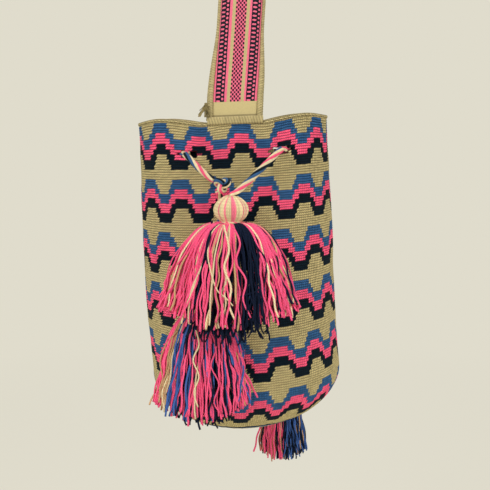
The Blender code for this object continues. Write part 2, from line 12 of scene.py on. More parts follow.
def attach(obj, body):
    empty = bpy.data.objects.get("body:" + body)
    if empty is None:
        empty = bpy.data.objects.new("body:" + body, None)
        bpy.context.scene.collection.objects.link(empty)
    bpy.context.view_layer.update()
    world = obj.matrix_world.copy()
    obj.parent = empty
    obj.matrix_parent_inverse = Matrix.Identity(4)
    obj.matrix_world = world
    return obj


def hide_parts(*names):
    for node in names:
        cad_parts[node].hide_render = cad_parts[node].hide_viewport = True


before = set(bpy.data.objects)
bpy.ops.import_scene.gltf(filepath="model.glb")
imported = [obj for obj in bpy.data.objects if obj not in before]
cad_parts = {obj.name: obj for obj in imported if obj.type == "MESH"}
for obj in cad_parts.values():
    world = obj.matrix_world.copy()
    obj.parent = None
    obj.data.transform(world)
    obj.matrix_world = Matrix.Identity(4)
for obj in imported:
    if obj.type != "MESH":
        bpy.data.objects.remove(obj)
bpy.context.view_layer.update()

# The camera looks slightly down at the bag from in front of it, as the photograph does.
# The room round it is plain: a pale wall that is only seen, soft lamps and a pale floor.
PHOTO_WIDTH = 490
FOCAL_PIXELS = 790
SENSOR_WIDTH = 36
NEAREST_SEEN = 0.02
CAMERA_PLACE = (0, -0.83, -0.478)
PITCH = math.radians(9.13)
WALL_COLOUR = (0.745, 0.715, 0.605)
ROOM_LIGHT = 0.62
FLOOR_LEVEL = -1.3
FLOOR_HALF_WIDTH = 6
FLOOR_FADE = (1.35, 2.4)
FLOOR_SHADED = 0.6

lens = bpy.data.cameras.new("camera")
lens.sensor_width = SENSOR_WIDTH
lens.lens = FOCAL_PIXELS / PHOTO_WIDTH * lens.sensor_width
lens.clip_start = NEAREST_SEEN
camera = bpy.data.objects.new("camera", lens)
camera.location = CAMERA_PLACE
camera.rotation_euler = (math.radians(90) - PITCH, 0, 0)
bpy.context.scene.collection.objects.link(camera)
bpy.context.scene.camera = camera
bpy.context.scene.view_settings.view_transform = "Standard"


def add_node(tree, kind, links=(), **settings):
    """Adds one shader node, with its sockets linked or set, and returns its first output."""
    made = tree.nodes.new(kind)
    for name, value in settings.items():
        setattr(made, name, value)
    for socket, value in dict(links).items():
        if isinstance(value, bpy.types.NodeSocket):
            tree.links.new(value, made.inputs[socket])
        else:
            made.inputs[socket].default_value = value
    return made.outputs[0] if made.outputs else None


def calc(tree, operation, *values, clamp=False):
    """One step of arithmetic in a shader."""
    return add_node(tree, "ShaderNodeMath", enumerate(values), operation=operation, use_clamp=clamp)


def ramp(tree, value, start, end, lowest, highest):
    """Turns a value between two limits into one between two others, and holds it there."""
    limits = {"From Min": start, "From Max": end, "To Min": lowest, "To Max": highest}
    return add_node(tree, "ShaderNodeMapRange", {"Value": value, **limits})


def seen_directly(tree):
    """One for the camera's own rays and for what glass and metal show, nought for light."""
    rays = tree.nodes.new("ShaderNodeLightPath")
    seen = calc(tree, "MAXIMUM", rays.outputs["Is Camera Ray"], rays.outputs["Is Glossy Ray"])
    return calc(tree, "MAXIMUM", seen, rays.outputs["Is Transmission Ray"])


world = bpy.data.worlds.new("room")
bpy.context.scene.world = world
world.use_nodes = True
tree = world.node_tree
tree.nodes.clear()
room_light = add_node(
    tree, "ShaderNodeBackground", {"Color": (1, 1, 1, 1), "Strength": ROOM_LIGHT}
)
room_wall = add_node(tree, "ShaderNodeBackground", {"Color": (*WALL_COLOUR, 1), "Strength": 1.0})
shown = add_node(tree, "ShaderNodeMixShader", {0: seen_directly(tree), 1: room_light, 2: room_wall})
add_node(tree, "ShaderNodeOutputWorld", {"Surface": shown})

for name, place, aim, size, power in (
    ("key_lamp", (-0.9, -1.3, 0.55), (0, 0, -0.6), 0.8, 18.5),
    ("fill_lamp", (1.2, -1.1, -0.1), (0, 0, -0.6), 1.2, 9.5),
    ("back_lamp", (0.3, 1.3, 0.6), (0, 0, -0.5), 1.2, 12),
):
    lamp = bpy.data.lights.new(name, "AREA")
    lamp.size = size
    lamp.energy = power
    holder = bpy.data.objects.new(name, lamp)
    holder.location = place
    holder.rotation_euler = (Vector(aim) - Vector(place)).to_track_quat("-Z", "Y").to_euler()
    bpy.context.scene.collection.objects.link(holder)

bm = bmesh.new()
bmesh.ops.create_grid(bm, x_segments=4, y_segments=4, size=FLOOR_HALF_WIDTH)
bmesh.ops.translate(bm, verts=bm.verts, vec=(0, 0, FLOOR_LEVEL))
floor_mesh = bpy.data.meshes.new("floor")
bm.to_mesh(floor_mesh)
bm.free()
floor = bpy.data.objects.new("floor", floor_mesh)
bpy.context.scene.collection.objects.link(floor)
pale = bpy.data.materials.new("pale_floor")
pale.use_nodes = True
tree = pale.node_tree
tree.nodes.clear()
lit = add_node(tree, "ShaderNodeBsdfDiffuse", {"Color": (*WALL_COLOUR, 1)})
glow = add_node(tree, "ShaderNodeEmission", {"Color": (*WALL_COLOUR, 1), "Strength": 1.0})
solid = tree.nodes.new("ShaderNodeTexCoord").outputs["Object"]
away = add_node(tree, "ShaderNodeVectorMath", {0: solid}, operation="LENGTH")
fading = ramp(tree, away.node.outputs["Value"], *FLOOR_FADE, FLOOR_SHADED, 1.0)
share = calc(tree, "MULTIPLY", seen_directly(tree), fading)
shown = add_node(tree, "ShaderNodeMixShader", {0: share, 1: lit, 2: glow})
add_node(tree, "ShaderNodeOutputMaterial", {"Surface": shown})
floor_mesh.materials.append(pale)

# The drawstring: one soft cord of four dyed yarns twisted together, cream, pink, blue and navy.
# It runs inside the pouch and comes out through four slits, and its ends are knotted and
# tied into the tassels.
CREAM = (0.86, 0.70, 0.42)
PINK = (1.0, 0.112, 0.225)
HOT_PINK = (1.0, 0.112, 0.25)
BLUE = (0.036, 0.112, 0.255)
NAVY = (0.003, 0.0105, 0.018)
TASSEL_NAVY = (0.0045, 0.010, 0.030)
CORD_RADIUS = 0.00275
CORD_SURFACE = 0.0031
CORD_TWIST = 0.048
CORD_STRANDS = (CREAM, PINK, CREAM, BLUE, NAVY)
CORD_ROW = 0.0009
CORD_STRAND_FACES = 5
CORD_STRAND_RISE = 0.24
CORD_STRAND_ROUNDNESS = 0.7
FINE_FIBRES = 2600.0
WORN_PATCHES = 90.0
PATCH_AMOUNT = 0.07
FIBRE_LIMITS = (0.3, 0.7)


def lay_grid(points, dyes, places, gaps=None):
    """A grid of faces laid on rows of points, with a dye for each face, closed where it meets."""
    rows, columns = dyes.shape[:2]
    bm = bmesh.new()
    layer = bm.loops.layers.uv.new("UVMap")
    colour = bm.loops.layers.float_color.new("dye")
    bmesh.ops.create_grid(bm, x_segments=columns, y_segments=rows, size=0.5, calc_uvs=True)
    bm.verts.ensure_lookup_table()
    bm.faces.ensure_lookup_table()
    bm.verts.index_update()
    for vert, spot in zip(bm.verts, points.reshape(-1, 3).tolist()):
        vert.co = spot
    places = places.reshape(-1, 2).tolist()
    for face, dye in zip(bm.faces, dyes.reshape(-1, 3).tolist()):
        face.smooth = True
        for loop in face.loops:
            loop[layer].uv = places[loop.vert.index]
            loop[colour] = (*dye, 1)
    if gaps is not None:
        unwanted = [face for face, gap in zip(bm.faces, gaps.reshape(-1).tolist()) if gap]
        bmesh.ops.delete(bm, geom=unwanted, context="FACES")
    bmesh.ops.remove_doubles(bm, verts=bm.verts, dist=2e-6)
    return bm


def finish_piece(bm, name, material, body, slot, *nodes):
    """Makes the bmesh an object that rides on a body and stands for these nodes of the frame."""
    bmesh.ops.recalc_face_normals(bm, faces=bm.faces)
    mesh = bpy.data.meshes.new(name)
    bm.to_mesh(mesh)
    bm.free()
    mesh.materials.append(material)
    piece = bpy.data.objects.new(name, mesh)
    bpy.context.scene.collection.objects.link(piece)
    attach(piece, body)
    if nodes:
        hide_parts(*nodes)
    return piece


def smooth_route(points, spacing):
    """Evenly spaced points on a smooth curve through the points of a route."""
    points = np.array([tuple(point) for point in points])
    ends = np.vstack([2 * points[0] - points[1], points, 2 * points[-1] - points[-2]])
    part = np.linspace(0, 1, 20, endpoint=False)[:, None]
    fine = []
    for before, start, end, after in zip(ends, ends[1:], ends[2:], ends[3:]):
        bend = 2 * before - 5 * start + 4 * end - after
        last = 3 * start - before - 3 * end + after
        fine.append(0.5 * (2 * start + (end - before) * part + bend * part**2 + last * part**3))
    fine = np.vstack([*fine, points[-1:]])
    run = np.concatenate([[0], np.cumsum(np.linalg.norm(np.diff(fine, axis=0), axis=1))])
    wanted = np.linspace(0, run[-1], max(2, round(run[-1] / spacing)) + 1)
    return np.stack([np.interp(wanted, run, axis) for axis in fine.T], axis=1)


def carried_frame(path, lead=(0.3, 0.5, 0.8)):
    """Two directions across a path at each of its points, carried along it without a twist."""
    ways = np.gradient(path, axis=0)
    ways /= np.linalg.norm(ways, axis=1)[:, None]
    side = np.cross(ways[0], lead)
    sides = []
    for way in ways:
        side = side - way * (side @ way)
        side = side / np.linalg.norm(side)
        sides.append(side)
    sides = np.array(sides)
    return sides, np.cross(ways, sides)


def twisted_cord(path, radius, colours, turn_length, seed, closed=False):
    """A cord of round strands that wind round each other along its path."""
    around = len(colours) * CORD_STRAND_FACES
    sides, ups = carried_frame(path, (0, 0, 1))
    if not closed:
        path, sides, ups = (np.vstack([each[:1], each, each[-1:]]) for each in (path, sides, ups))
    run = np.concatenate([[0], np.cumsum(np.linalg.norm(np.diff(path, axis=0), axis=1))])
    angle = np.linspace(0, 2 * math.pi, around + 1)
    lobe = np.abs(np.sin(len(colours) * angle / 2)) ** CORD_STRAND_ROUNDNESS
    turned = angle[None, :] + 2 * math.pi * run[:, None] / turn_length
    swell = radius * (1 - CORD_STRAND_RISE + CORD_STRAND_RISE * lobe)[None, :] * np.ones_like(turned)
    if not closed:
        swell[0] = swell[-1] = 0
    points = path[:, None, :] + (
        sides[:, None, :] * (np.cos(turned) * swell)[..., None]
        + ups[:, None, :] * (np.sin(turned) * swell)[..., None]
    )
    shade = random.Random(seed)
    dyes = np.zeros((len(path) - 1, around, 3))
    for column in range(around):
        dyes[:, column] = colours[column // CORD_STRAND_FACES]
    dyes *= np.array([shade.uniform(0.9, 1.1) for _ in range(len(path) - 1)])[:, None, None]
    places = np.stack(np.broadcast_arrays(angle[None, :] / (2 * math.pi), run[:, None]), axis=-1)
    return lay_grid(points, dyes, places)


def times(tree, first, second, clamp=False):
    """One value of a shader times another."""
    return calc(tree, "MULTIPLY", first, second, clamp=clamp)


def plus(tree, first, second):
    """One value of a shader with another added."""
    return calc(tree, "ADD", first, second)


def minus(tree, first, second, clamp=False):
    """One value of a shader less another."""
    return calc(tree, "SUBTRACT", first, second, clamp=clamp)


def new_material(name):
    """A new material, its tree, and the place across and along the piece that wears it."""
    material = bpy.data.materials.new(name)
    material.use_nodes = True
    tree = material.node_tree
    place = tree.nodes.new("ShaderNodeUVMap")
    place.uv_map = "UVMap"
    split = tree.nodes.new("ShaderNodeSeparateXYZ")
    tree.links.new(place.outputs["UV"], split.inputs[0])
    return material, tree, split.outputs["X"], split.outputs["Y"]


def fibres(tree, scale, detail=2.0, roughness=0.7):
    """Fine unevenness all through a piece, smaller the larger its scale."""
    solid = tree.nodes.new("ShaderNodeTexCoord").outputs["Object"]
    settings = {"Vector": solid, "Scale": scale, "Detail": detail, "Roughness": roughness}
    return add_node(tree, "ShaderNodeTexNoise", settings)


def shaded_by(tree, tone, unevenness, amount):
    """A tone made lighter and darker by this amount where an unevenness is high or low."""
    return times(tree, tone, ramp(tree, unevenness, *FIBRE_LIMITS, 1 - amount, 1 + amount))


def wear_dye(tree, dye, tone, height, strength, depth):
    """Gives the shader its dye, lighter or darker by the tone, and its raised surface."""
    shader = tree.nodes["Principled BSDF"]
    colour = add_node(tree, "ShaderNodeVectorMath", {0: dye, "Scale": tone}, operation="SCALE")
    tree.links.new(colour, shader.inputs["Base Color"])
    raised = add_node(
        tree, "ShaderNodeBump", {"Height": height, "Strength": strength, "Distance": depth}
    )
    tree.links.new(raised, shader.inputs["Normal"])
    return shader


def yarn_material(name, plies, ply_length, groove_shade, sheen=0.06, fuzz=0.12, bump=0.5):
    """Spun yarn: its dye comes from the piece, with fine plies, painted shade in the grooves between
    them, and loose fibre.
    """
    material, tree, across, along = new_material(name)
    dye = add_node(tree, "ShaderNodeAttribute", attribute_name="dye")
    wound = plus(tree, times(tree, across, plies), calc(tree, "DIVIDE", along, ply_length))
    ply = times(tree, calc(tree, "PINGPONG", wound, 0.5), 2.0)
    fibre = fibres(tree, FINE_FIBRES)
    # The grooves between the plies get painted shade.
    tone = shaded_by(tree, ramp(tree, ply, 0.0, 1.0, 1 - groove_shade, 1.0), fibre, fuzz)
    tone = shaded_by(tree, tone, fibres(tree, WORN_PATCHES, roughness=0.5), PATCH_AMOUNT)
    height = plus(tree, ply, times(tree, fibre, 0.5))
    shader = wear_dye(tree, dye, tone, height, bump, 0.0004)
    shader.inputs["Roughness"].default_value = 0.88
    shader.inputs["Specular IOR Level"].default_value = 0.10
    shader.inputs["Sheen Weight"].default_value = sheen
    shader.inputs["Sheen Roughness"].default_value = 0.6
    return material


cord_yarn = yarn_material("twisted_cord_yarn", 20, 0.004, 0.25)

# Each free stretch of cord: its body, what is at its far end, and its route.
FREE_CORDS = {
    "front_cord_left": (
        "front_ties", "knot",
        (-0.0575, -0.0708, -0.5122), (-0.0540, -0.0740, -0.5150), (-0.0480, -0.0795, -0.5205),
        (-0.0420, -0.0850, -0.5258), (-0.0365, -0.0902, -0.5302), (-0.0320, -0.0945, -0.5330),
        (-0.0285, -0.0977, -0.5341),
    ),
    "front_cord_right": (
        "front_ties", "object",
        (0.0350, -0.0708, -0.5070), (0.0315, -0.0735, -0.5100), (0.0255, -0.0785, -0.5155),
        (0.0185, -0.0842, -0.5220), (0.0115, -0.0900, -0.5285), (0.0045, -0.0957, -0.5350),
        (-0.0015, -0.1005, -0.5402), (-0.0065, -0.1038, -0.5445), (-0.0100, -0.1045, -0.5468),
        (-0.0128, -0.1036, -0.5485),
    ),
    "front_lower_lead": (
        "front_ties", "object",
        (-0.0250, -0.0934, -0.5461), (-0.0228, -0.0868, -0.5560), (-0.0235, -0.0828, -0.5740),
        (-0.0295, -0.0852, -0.5940), (-0.0355, -0.0925, -0.6130), (-0.0385, -0.1000, -0.6270),
        (-0.0390, -0.1030, -0.6337),
    ),
    "rear_cord_left": (
        "rear_ties", "object",
        (-0.0408, 0.0724, -0.5112), (-0.0383, 0.0729, -0.5114), (-0.0340, 0.0750, -0.5160),
        (-0.0245, 0.0792, -0.5340), (-0.0085, 0.0867, -0.5720), (0.0065, 0.0950, -0.6150),
        (0.0160, 0.1025, -0.6510), (0.0235, 0.1110, -0.6670), (0.0290, 0.1186, -0.6790),
        (0.0310, 0.1180, -0.6902),
    ),
    "rear_cord_right": (
        "rear_ties", "knot",
        (0.0323, 0.0699, -0.5080), (0.0299, 0.0705, -0.5081), (0.0280, 0.0724, -0.5122),
        (0.0280, 0.0764, -0.5257), (0.0315, 0.0825, -0.5560), (0.0380, 0.0910, -0.5950),
        (0.0410, 0.0985, -0.6400), (0.0385, 0.1035, -0.6640), (0.0352, 0.1053, -0.6745),
    ),
    "rear_lower_lead": (
        "rear_ties", "object",
        (0.0345, 0.1042, -0.6892), (0.0370, 0.1010, -0.6980), (0.0390, 0.0998, -0.7150),
        (0.0405, 0.1005, -0.7350), (0.0420, 0.1015, -0.7560), (0.0430, 0.1027, -0.7740),
    ),
}
for number, (name, (body, far_end, *route)) in enumerate(FREE_CORDS.items()):
    path = smooth_route(route, CORD_ROW)
    strands = CORD_STRANDS[::-1] if body == "rear_ties" else CORD_STRANDS
    bm = twisted_cord(path, CORD_SURFACE, strands, CORD_TWIST, number)
    finish_piece(bm, f"{name}_twist", cord_yarn, body, "twisted_cord", name)
    length = float(np.linalg.norm(np.diff(path, axis=0), axis=1).sum())

# The knots: in front and behind, one overhand knot in the cord's ends, pulled up round.
# Each is a loop of the same cord that passes over and under itself.
KNOTS = {
    "front_knot": ("front_ties", (-0.0212, -0.0980, -0.5390)),
    "rear_knot": ("rear_ties", (0.0310, 0.1080, -0.6820)),
}
KNOT_ROWS = 130
KNOT_REACH = 0.00245
KNOT_LOBES = 1.55
KNOT_HALF_DEPTH = 0.0028
for number, (name, (body, centre)) in enumerate(KNOTS.items()):
    turn = np.linspace(0, 2 * math.pi, KNOT_ROWS + 1)
    x = (np.sin(turn) + KNOT_LOBES * np.sin(2 * turn)) * KNOT_REACH
    y = -np.sin(3 * turn) * KNOT_HALF_DEPTH
    z = (np.cos(turn) - KNOT_LOBES * np.cos(2 * turn)) * KNOT_REACH
    path = np.stack([x, y, z], axis=1) + np.array(centre)
    bm = twisted_cord(path, CORD_RADIUS, CORD_STRANDS, CORD_TWIST, 20 + number, closed=True)
    finish_piece(bm, f"{name}_loop", cord_yarn, body, "twisted_cord", name)

# The pouch: a bucket of tapestry crochet, worked round and round from the middle of its base
# in cotton yarn, with six bands of waves in blue, pink and navy on sand. The rim has one
# round of thicker edging, and the drawstring passes through slits left between stitches.
SAND = (0.525, 0.425, 0.200)
MOUTH_CENTRE = Vector((-0.0125, 0, -0.480))
LEAN = math.radians(2.4)
DOWN = np.array((math.sin(LEAN), 0, -math.cos(LEAN)))
RIGHT = np.array((math.cos(LEAN), 0, math.sin(LEAN)))
POUCH_HEIGHT = 0.326
BASE_ROUNDING = 0.062
BASE_START = POUCH_HEIGHT - BASE_ROUNDING
MOUTH_HALF_WIDTH = 0.0965
MOUTH_HALF_DEPTH = 0.0700
MOUTH_SQUARENESS = 2.6
BELLY_HALF_WIDTH = 0.1005
BELLY_HALF_DEPTH = 0.0940
BELLY_SQUARENESS = 2.05
WIDEST_SHARE = 0.4
SQUARE_SHARE = 0.5
BELLY_START_SHARE = 0.186
BELLY_RUN_SHARE = 0.62
BELLY_DRIFT = 0.003
BELLY_DRIFT_SHARE = 0.81
BELLY_DRIFT_SPREAD = 0.019
RIM_HUMP = 0.0033
RIM_HUMP_PLACE = 0.135
RIM_HUMP_WIDTH = 0.045
RIM_DIP = 0.0027
RIM_DIP_PLACE = 0.052
RIM_DIP_WIDTH = 0.028
RIM_SLACK_DEPTH = 0.03
WALL = 0.003
RIM_EDGE = 0.003
STITCHES = 240
FIRST_STITCH = 0.46
REPEAT = 16
PEAK_STITCH = 0.31 * REPEAT
ROW_HEIGHT = 0.002365
ROW_CREST = 0.8
ROWS_PER_BAND = 22
BANDS = 6
SLIT_DROP = 0.030
SLIT_ROWS = (10, 11, 12)
SLIT_STITCHES = 11
SLIT_CORNER_STITCHES = 2
FRONT_SLIT_RUNS = (-0.0440, 0.0450)
REAR_SLIT_RUNS = (-0.0490, 0.0345)
PATTERN_TURN = 2.2
PATTERN_SWAY = 4.4
BAND_DRIFTS = (0.0, 0.0, 3.2, 4.0, 8.0, 10.5)
BAND_DRIFT_TURN = 0.26
WAVE_HALVES = (3.6, 4.6, 5.6, 4.6, 5.6, 4.6, 5.6, 3.6, 4.6)
HEART_HALVES = (0, 0, 2.6, 9, 2.6, 9, 2.6, 9, 9)
BASE_ROUNDS = {134: NAVY, 135: NAVY, 136: BLUE, 137: BLUE}
STITCH_SLANT = 0.60
RELIEF = 0.00028


def ease(value):
    """A smooth step from 0 to 1."""
    value = np.clip(value, 0.0, 1.0)
    return value * value * (3 - 2 * value)


def half_sizes(drop, inset=0.0):
    """Half-width, half-depth and squareness of the pouch at this drop below its rim."""
    into_base = max(0.0, drop - BASE_START) / (BASE_ROUNDING - inset)
    closing = math.sqrt(max(0.0, 1 - min(1.0, into_base) ** 2))
    down = drop / POUCH_HEIGHT
    wide = ease(down / WIDEST_SHARE)
    full = ease((down - BELLY_START_SHARE) / BELLY_RUN_SHARE)
    square = ease(down / SQUARE_SHARE)
    half_width = MOUTH_HALF_WIDTH + (BELLY_HALF_WIDTH - MOUTH_HALF_WIDTH) * wide - inset
    half_depth = MOUTH_HALF_DEPTH + (BELLY_HALF_DEPTH - MOUTH_HALF_DEPTH) * full - inset
    squareness = MOUTH_SQUARENESS + (BELLY_SQUARENESS - MOUTH_SQUARENESS) * square
    return half_width * closing, half_depth * closing, squareness


def pouch_section(drop, inset=0.0):
    """Places round the pouch at this drop, with the run along them from the front."""
    half_width, half_depth, squareness = half_sizes(drop, inset)
    turn = np.linspace(0, 2 * math.pi, 721)
    across, along = np.sin(turn), np.cos(turn)
    x = half_width * np.sign(across) * np.abs(across) ** (2 / squareness)
    y = -half_depth * np.sign(along) * np.abs(along) ** (2 / squareness)
    down = drop / POUCH_HEIGHT - BELLY_DRIFT_SHARE
    x = x + BELLY_DRIFT * math.exp(-(down**2) / BELLY_DRIFT_SPREAD)
    run = np.concatenate([[0], np.cumsum(np.hypot(np.diff(x), np.diff(y)))])
    return x, y, run


def pouch_ring(drop, inset, slant):
    """One round of the pouch, a point for each side of each stitch, starting at the rear."""
    x, y, run = pouch_section(drop, inset)
    shares = (np.arange(STITCHES + 1) - STITCHES / 2 + FIRST_STITCH + slant) / STITCHES
    at = (shares % 1.0) * run[-1]
    away = np.abs((shares + 0.25) % 0.5 - 0.25)
    hump = RIM_HUMP * np.exp(-(((away - RIM_HUMP_PLACE) / RIM_HUMP_WIDTH) ** 2))
    dip = RIM_DIP * np.exp(-(((away - RIM_DIP_PLACE) / RIM_DIP_WIDTH) ** 2))
    depth = drop - (hump - dip) * math.exp(-((drop / RIM_SLACK_DEPTH) ** 2))
    ring = np.interp(at, run, x)[:, None] * RIGHT + depth[:, None] * DOWN
    ring[:, 1] += np.interp(at, run, y)
    return ring + np.array(MOUTH_CENTRE)


def wave_dye(stitch, row):
    """The yarn that shows at this stitch of this round: blue, pink, navy or sand."""
    if row in BASE_ROUNDS:
        return BASE_ROUNDS[row]
    if row < 0 or row >= BANDS * ROWS_PER_BAND + 6:
        return SAND
    band, level = divmod(row // 2, ROWS_PER_BAND // 2)
    turn = 2 * math.pi * stitch / STITCHES
    drift = BAND_DRIFTS[min(band, BANDS - 1)] * (0.5 + 0.5 * math.sin(turn + BAND_DRIFT_TURN))
    stitch = stitch + PATTERN_TURN - PATTERN_SWAY * math.sin(turn) + drift
    shift = PEAK_STITCH + (REPEAT / 2 if band % 2 else 0)
    off = abs((stitch - shift + REPEAT / 2) % REPEAT - REPEAT / 2)
    if band >= BANDS or level >= len(WAVE_HALVES):
        return SAND
    on_wave = off < WAVE_HALVES[level]
    in_heart = off < HEART_HALVES[level]
    if level < 3:
        return PINK if on_wave and in_heart else BLUE if on_wave else SAND
    if level < 5:
        return (NAVY if in_heart and level == 4 else PINK) if on_wave else BLUE
    if level < 7:
        return (SAND if in_heart and level == 6 else NAVY) if on_wave else PINK
    return SAND if on_wave else NAVY


def length_table():
    """The run of wall from the rim for each drop, fine where the base curves in."""
    turn = np.linspace(0, math.pi / 2, 300)
    straight = np.linspace(0, BASE_START, 200)[:-1]
    drop = np.concatenate([straight, POUCH_HEIGHT - BASE_ROUNDING * (1 - np.sin(turn))])
    reach = np.array([sum(half_sizes(each)[:2]) / 2 for each in drop])
    run = np.concatenate([[0], np.cumsum(np.hypot(np.diff(drop), np.diff(reach)))])
    return drop, run


drops, runs = length_table()
rows_in_all = int((runs[-1] - RIM_EDGE) / ROW_HEIGHT)
slanted_rows = BANDS * ROWS_PER_BAND + 2


def row_drop(row):
    """The drop below the rim of the top of a row of stitches."""
    return float(np.interp(RIM_EDGE + row * ROW_HEIGHT, runs, drops))


# Each ring of the pouch: its drop, inset, slant of the stitches, rise off the wall, and row.
# They go up the outside from the base's middle, over the rim and down the inside.
RIM_PROFILE = (
    (0.0022, 0.0005, 0.2), (0.0010, 0.0008, 0.5), (0.0, 0.0007, 0.8), (-0.0007, 0.0001, 1.1),
    (-0.0009, -0.0012, 1.5), (-0.0006, -0.0026, 1.9), (0.0004, -0.0034, 2.2),
    (0.0020, -0.0034, 2.4),
)
INNER_ROWS = ((0.0045, -1.0), (0.009, 2.0), (0.015, 5.0), (0.021, 8.0))
INNER_PLAIN_START = 0.040
stack = [(float(np.interp(runs[-1], runs, drops)), 0.0, 0.0, 0.0, rows_in_all)]
for row in range(rows_in_all - 1, -1, -1):
    stack.append((row_drop(row + ROW_CREST), 0.0, 0.0, RELIEF, row + ROW_CREST))
    if row < slanted_rows:
        stack.append((row_drop(row), 0.0, STITCH_SLANT, -RELIEF, float(row)))
outer_count = len(stack)
for step, (drop, out, slant) in enumerate(RIM_PROFILE):
    stack.append((drop, 0.0, slant, out, -1.0 - 0.4 * step))
rim_count = len(stack)
for drop, row in INNER_ROWS:
    stack.append((drop, WALL, 0.0, 0.0, row))
for row in SLIT_ROWS:
    stack.append((row_drop(row), WALL, STITCH_SLANT, 0.0, float(row)))
    stack.append((row_drop(row + ROW_CREST), WALL, 0.0, 0.0, row + ROW_CREST))
stack.append((row_drop(SLIT_ROWS[-1] + 1), WALL, STITCH_SLANT, 0.0, SLIT_ROWS[-1] + 1.0))
for drop in np.linspace(INNER_PLAIN_START, BASE_START, 14):
    stack.append((float(drop), WALL, 0.0, 0.0, (float(drop) - RIM_EDGE) / ROW_HEIGHT))
for turn in np.linspace(0, math.pi / 2, 13)[1:]:
    drop = BASE_START + (BASE_ROUNDING - WALL) * math.sin(turn)
    run = float(np.interp(min(drop + WALL * math.sin(turn), POUCH_HEIGHT), drops, runs))
    stack.append((drop, WALL, 0.0, 0.0, (run - RIM_EDGE) / ROW_HEIGHT))

rings = np.array([pouch_ring(drop, inset, slant) for drop, inset, slant, _, _ in stack])
ring_drops, _, _, outs, levels = (np.array(each) for each in zip(*stack))
around = np.roll(rings[:, :-1], -1, axis=1) - np.roll(rings[:, :-1], 1, axis=1)
around = np.concatenate([around, around[:, :1]], axis=1)
outward = -np.cross(around, np.broadcast_to(DOWN, around.shape))
outward /= np.linalg.norm(outward, axis=2)[..., None] + 1e-12
tilt = np.arcsin(np.clip((ring_drops - BASE_START) / BASE_ROUNDING, 0, 1))[:, None, None]
outward = outward * np.cos(tilt) + DOWN * np.sin(tilt)

slit_round = float(pouch_section(SLIT_DROP)[2][-1])
slit_shares = [run / slit_round for run in FRONT_SLIT_RUNS]
slit_shares += [0.5 + run / slit_round for run in REAR_SLIT_RUNS]
slit_columns = [(share * STITCHES + STITCHES / 2 - FIRST_STITCH) % STITCHES for share in slit_shares]

# The cord draws the wall in round each slit, in small folds, and handwork is never quite even.
STITCH_MM = 2.3
SLIT_PULL = (0.0007, 22)
SLIT_FOLDS = (0.0006, 16, 10)
SLIT_SETTLE = (0.0006, 14)
SOFT_LUMPS = ((16, 0.0011), (48, 0.0005))
LUMP_LIMIT = 0.0003
UNEVEN_STITCHES = (230, 0.0005)
columns = np.arange(STITCHES + 1)[None, :]
below = levels[:, None] - (SLIT_ROWS[1] + 0.5)
pull = np.zeros((len(stack), STITCHES + 1))
settle = np.zeros_like(pull)
lumps = np.zeros_like(pull)
for column in slit_columns:
    off = (columns - column + STITCHES / 2) % STITCHES - STITCHES / 2
    away = np.hypot(off * STITCH_MM, below * STITCH_MM)
    deep, start, spread = SLIT_FOLDS
    fold = np.cos(np.arctan2(below, off + 1e-6) * 6) * np.exp(-((away - start) / spread) ** 2)
    pull -= SLIT_PULL[0] * np.exp(-((away / SLIT_PULL[1]) ** 2)) + deep * fold
    settle += SLIT_SETTLE[0] * np.exp(-((away / SLIT_SETTLE[1]) ** 2))
for ring_index in range(len(stack)):
    for column in range(STITCHES + 1):
        spot = Vector(rings[ring_index, column % STITCHES])
        soft = sum(noise.noise(spot * scale) * size for scale, size in SOFT_LUMPS)
        lumps[ring_index, column] = min(LUMP_LIMIT, soft - LUMP_LIMIT)
        settle[ring_index, column] += noise.noise(spot * UNEVEN_STITCHES[0]) * UNEVEN_STITCHES[1]
body_rows = (levels >= 0)[:, None]
moved = outs[:, None] + (pull + lumps) * body_rows
points = rings + outward * moved[..., None] + DOWN * (settle * body_rows)[..., None]
points[:, -1] = points[:, 0]
points[0] = points[0].mean(axis=0)
points[-1] = points[-1].mean(axis=0)

# The inside's dyes are darkened: partly painted shade, as little light gets in, and partly the darker mix
# of carried yarns that shows on the inside.
INSIDE_SHADE_AND_YARN_MIX = 0.6
# The thin rows in the grooves between stitch rows get painted shade.
GROOVE_PAINTED_SHADE = 0.60
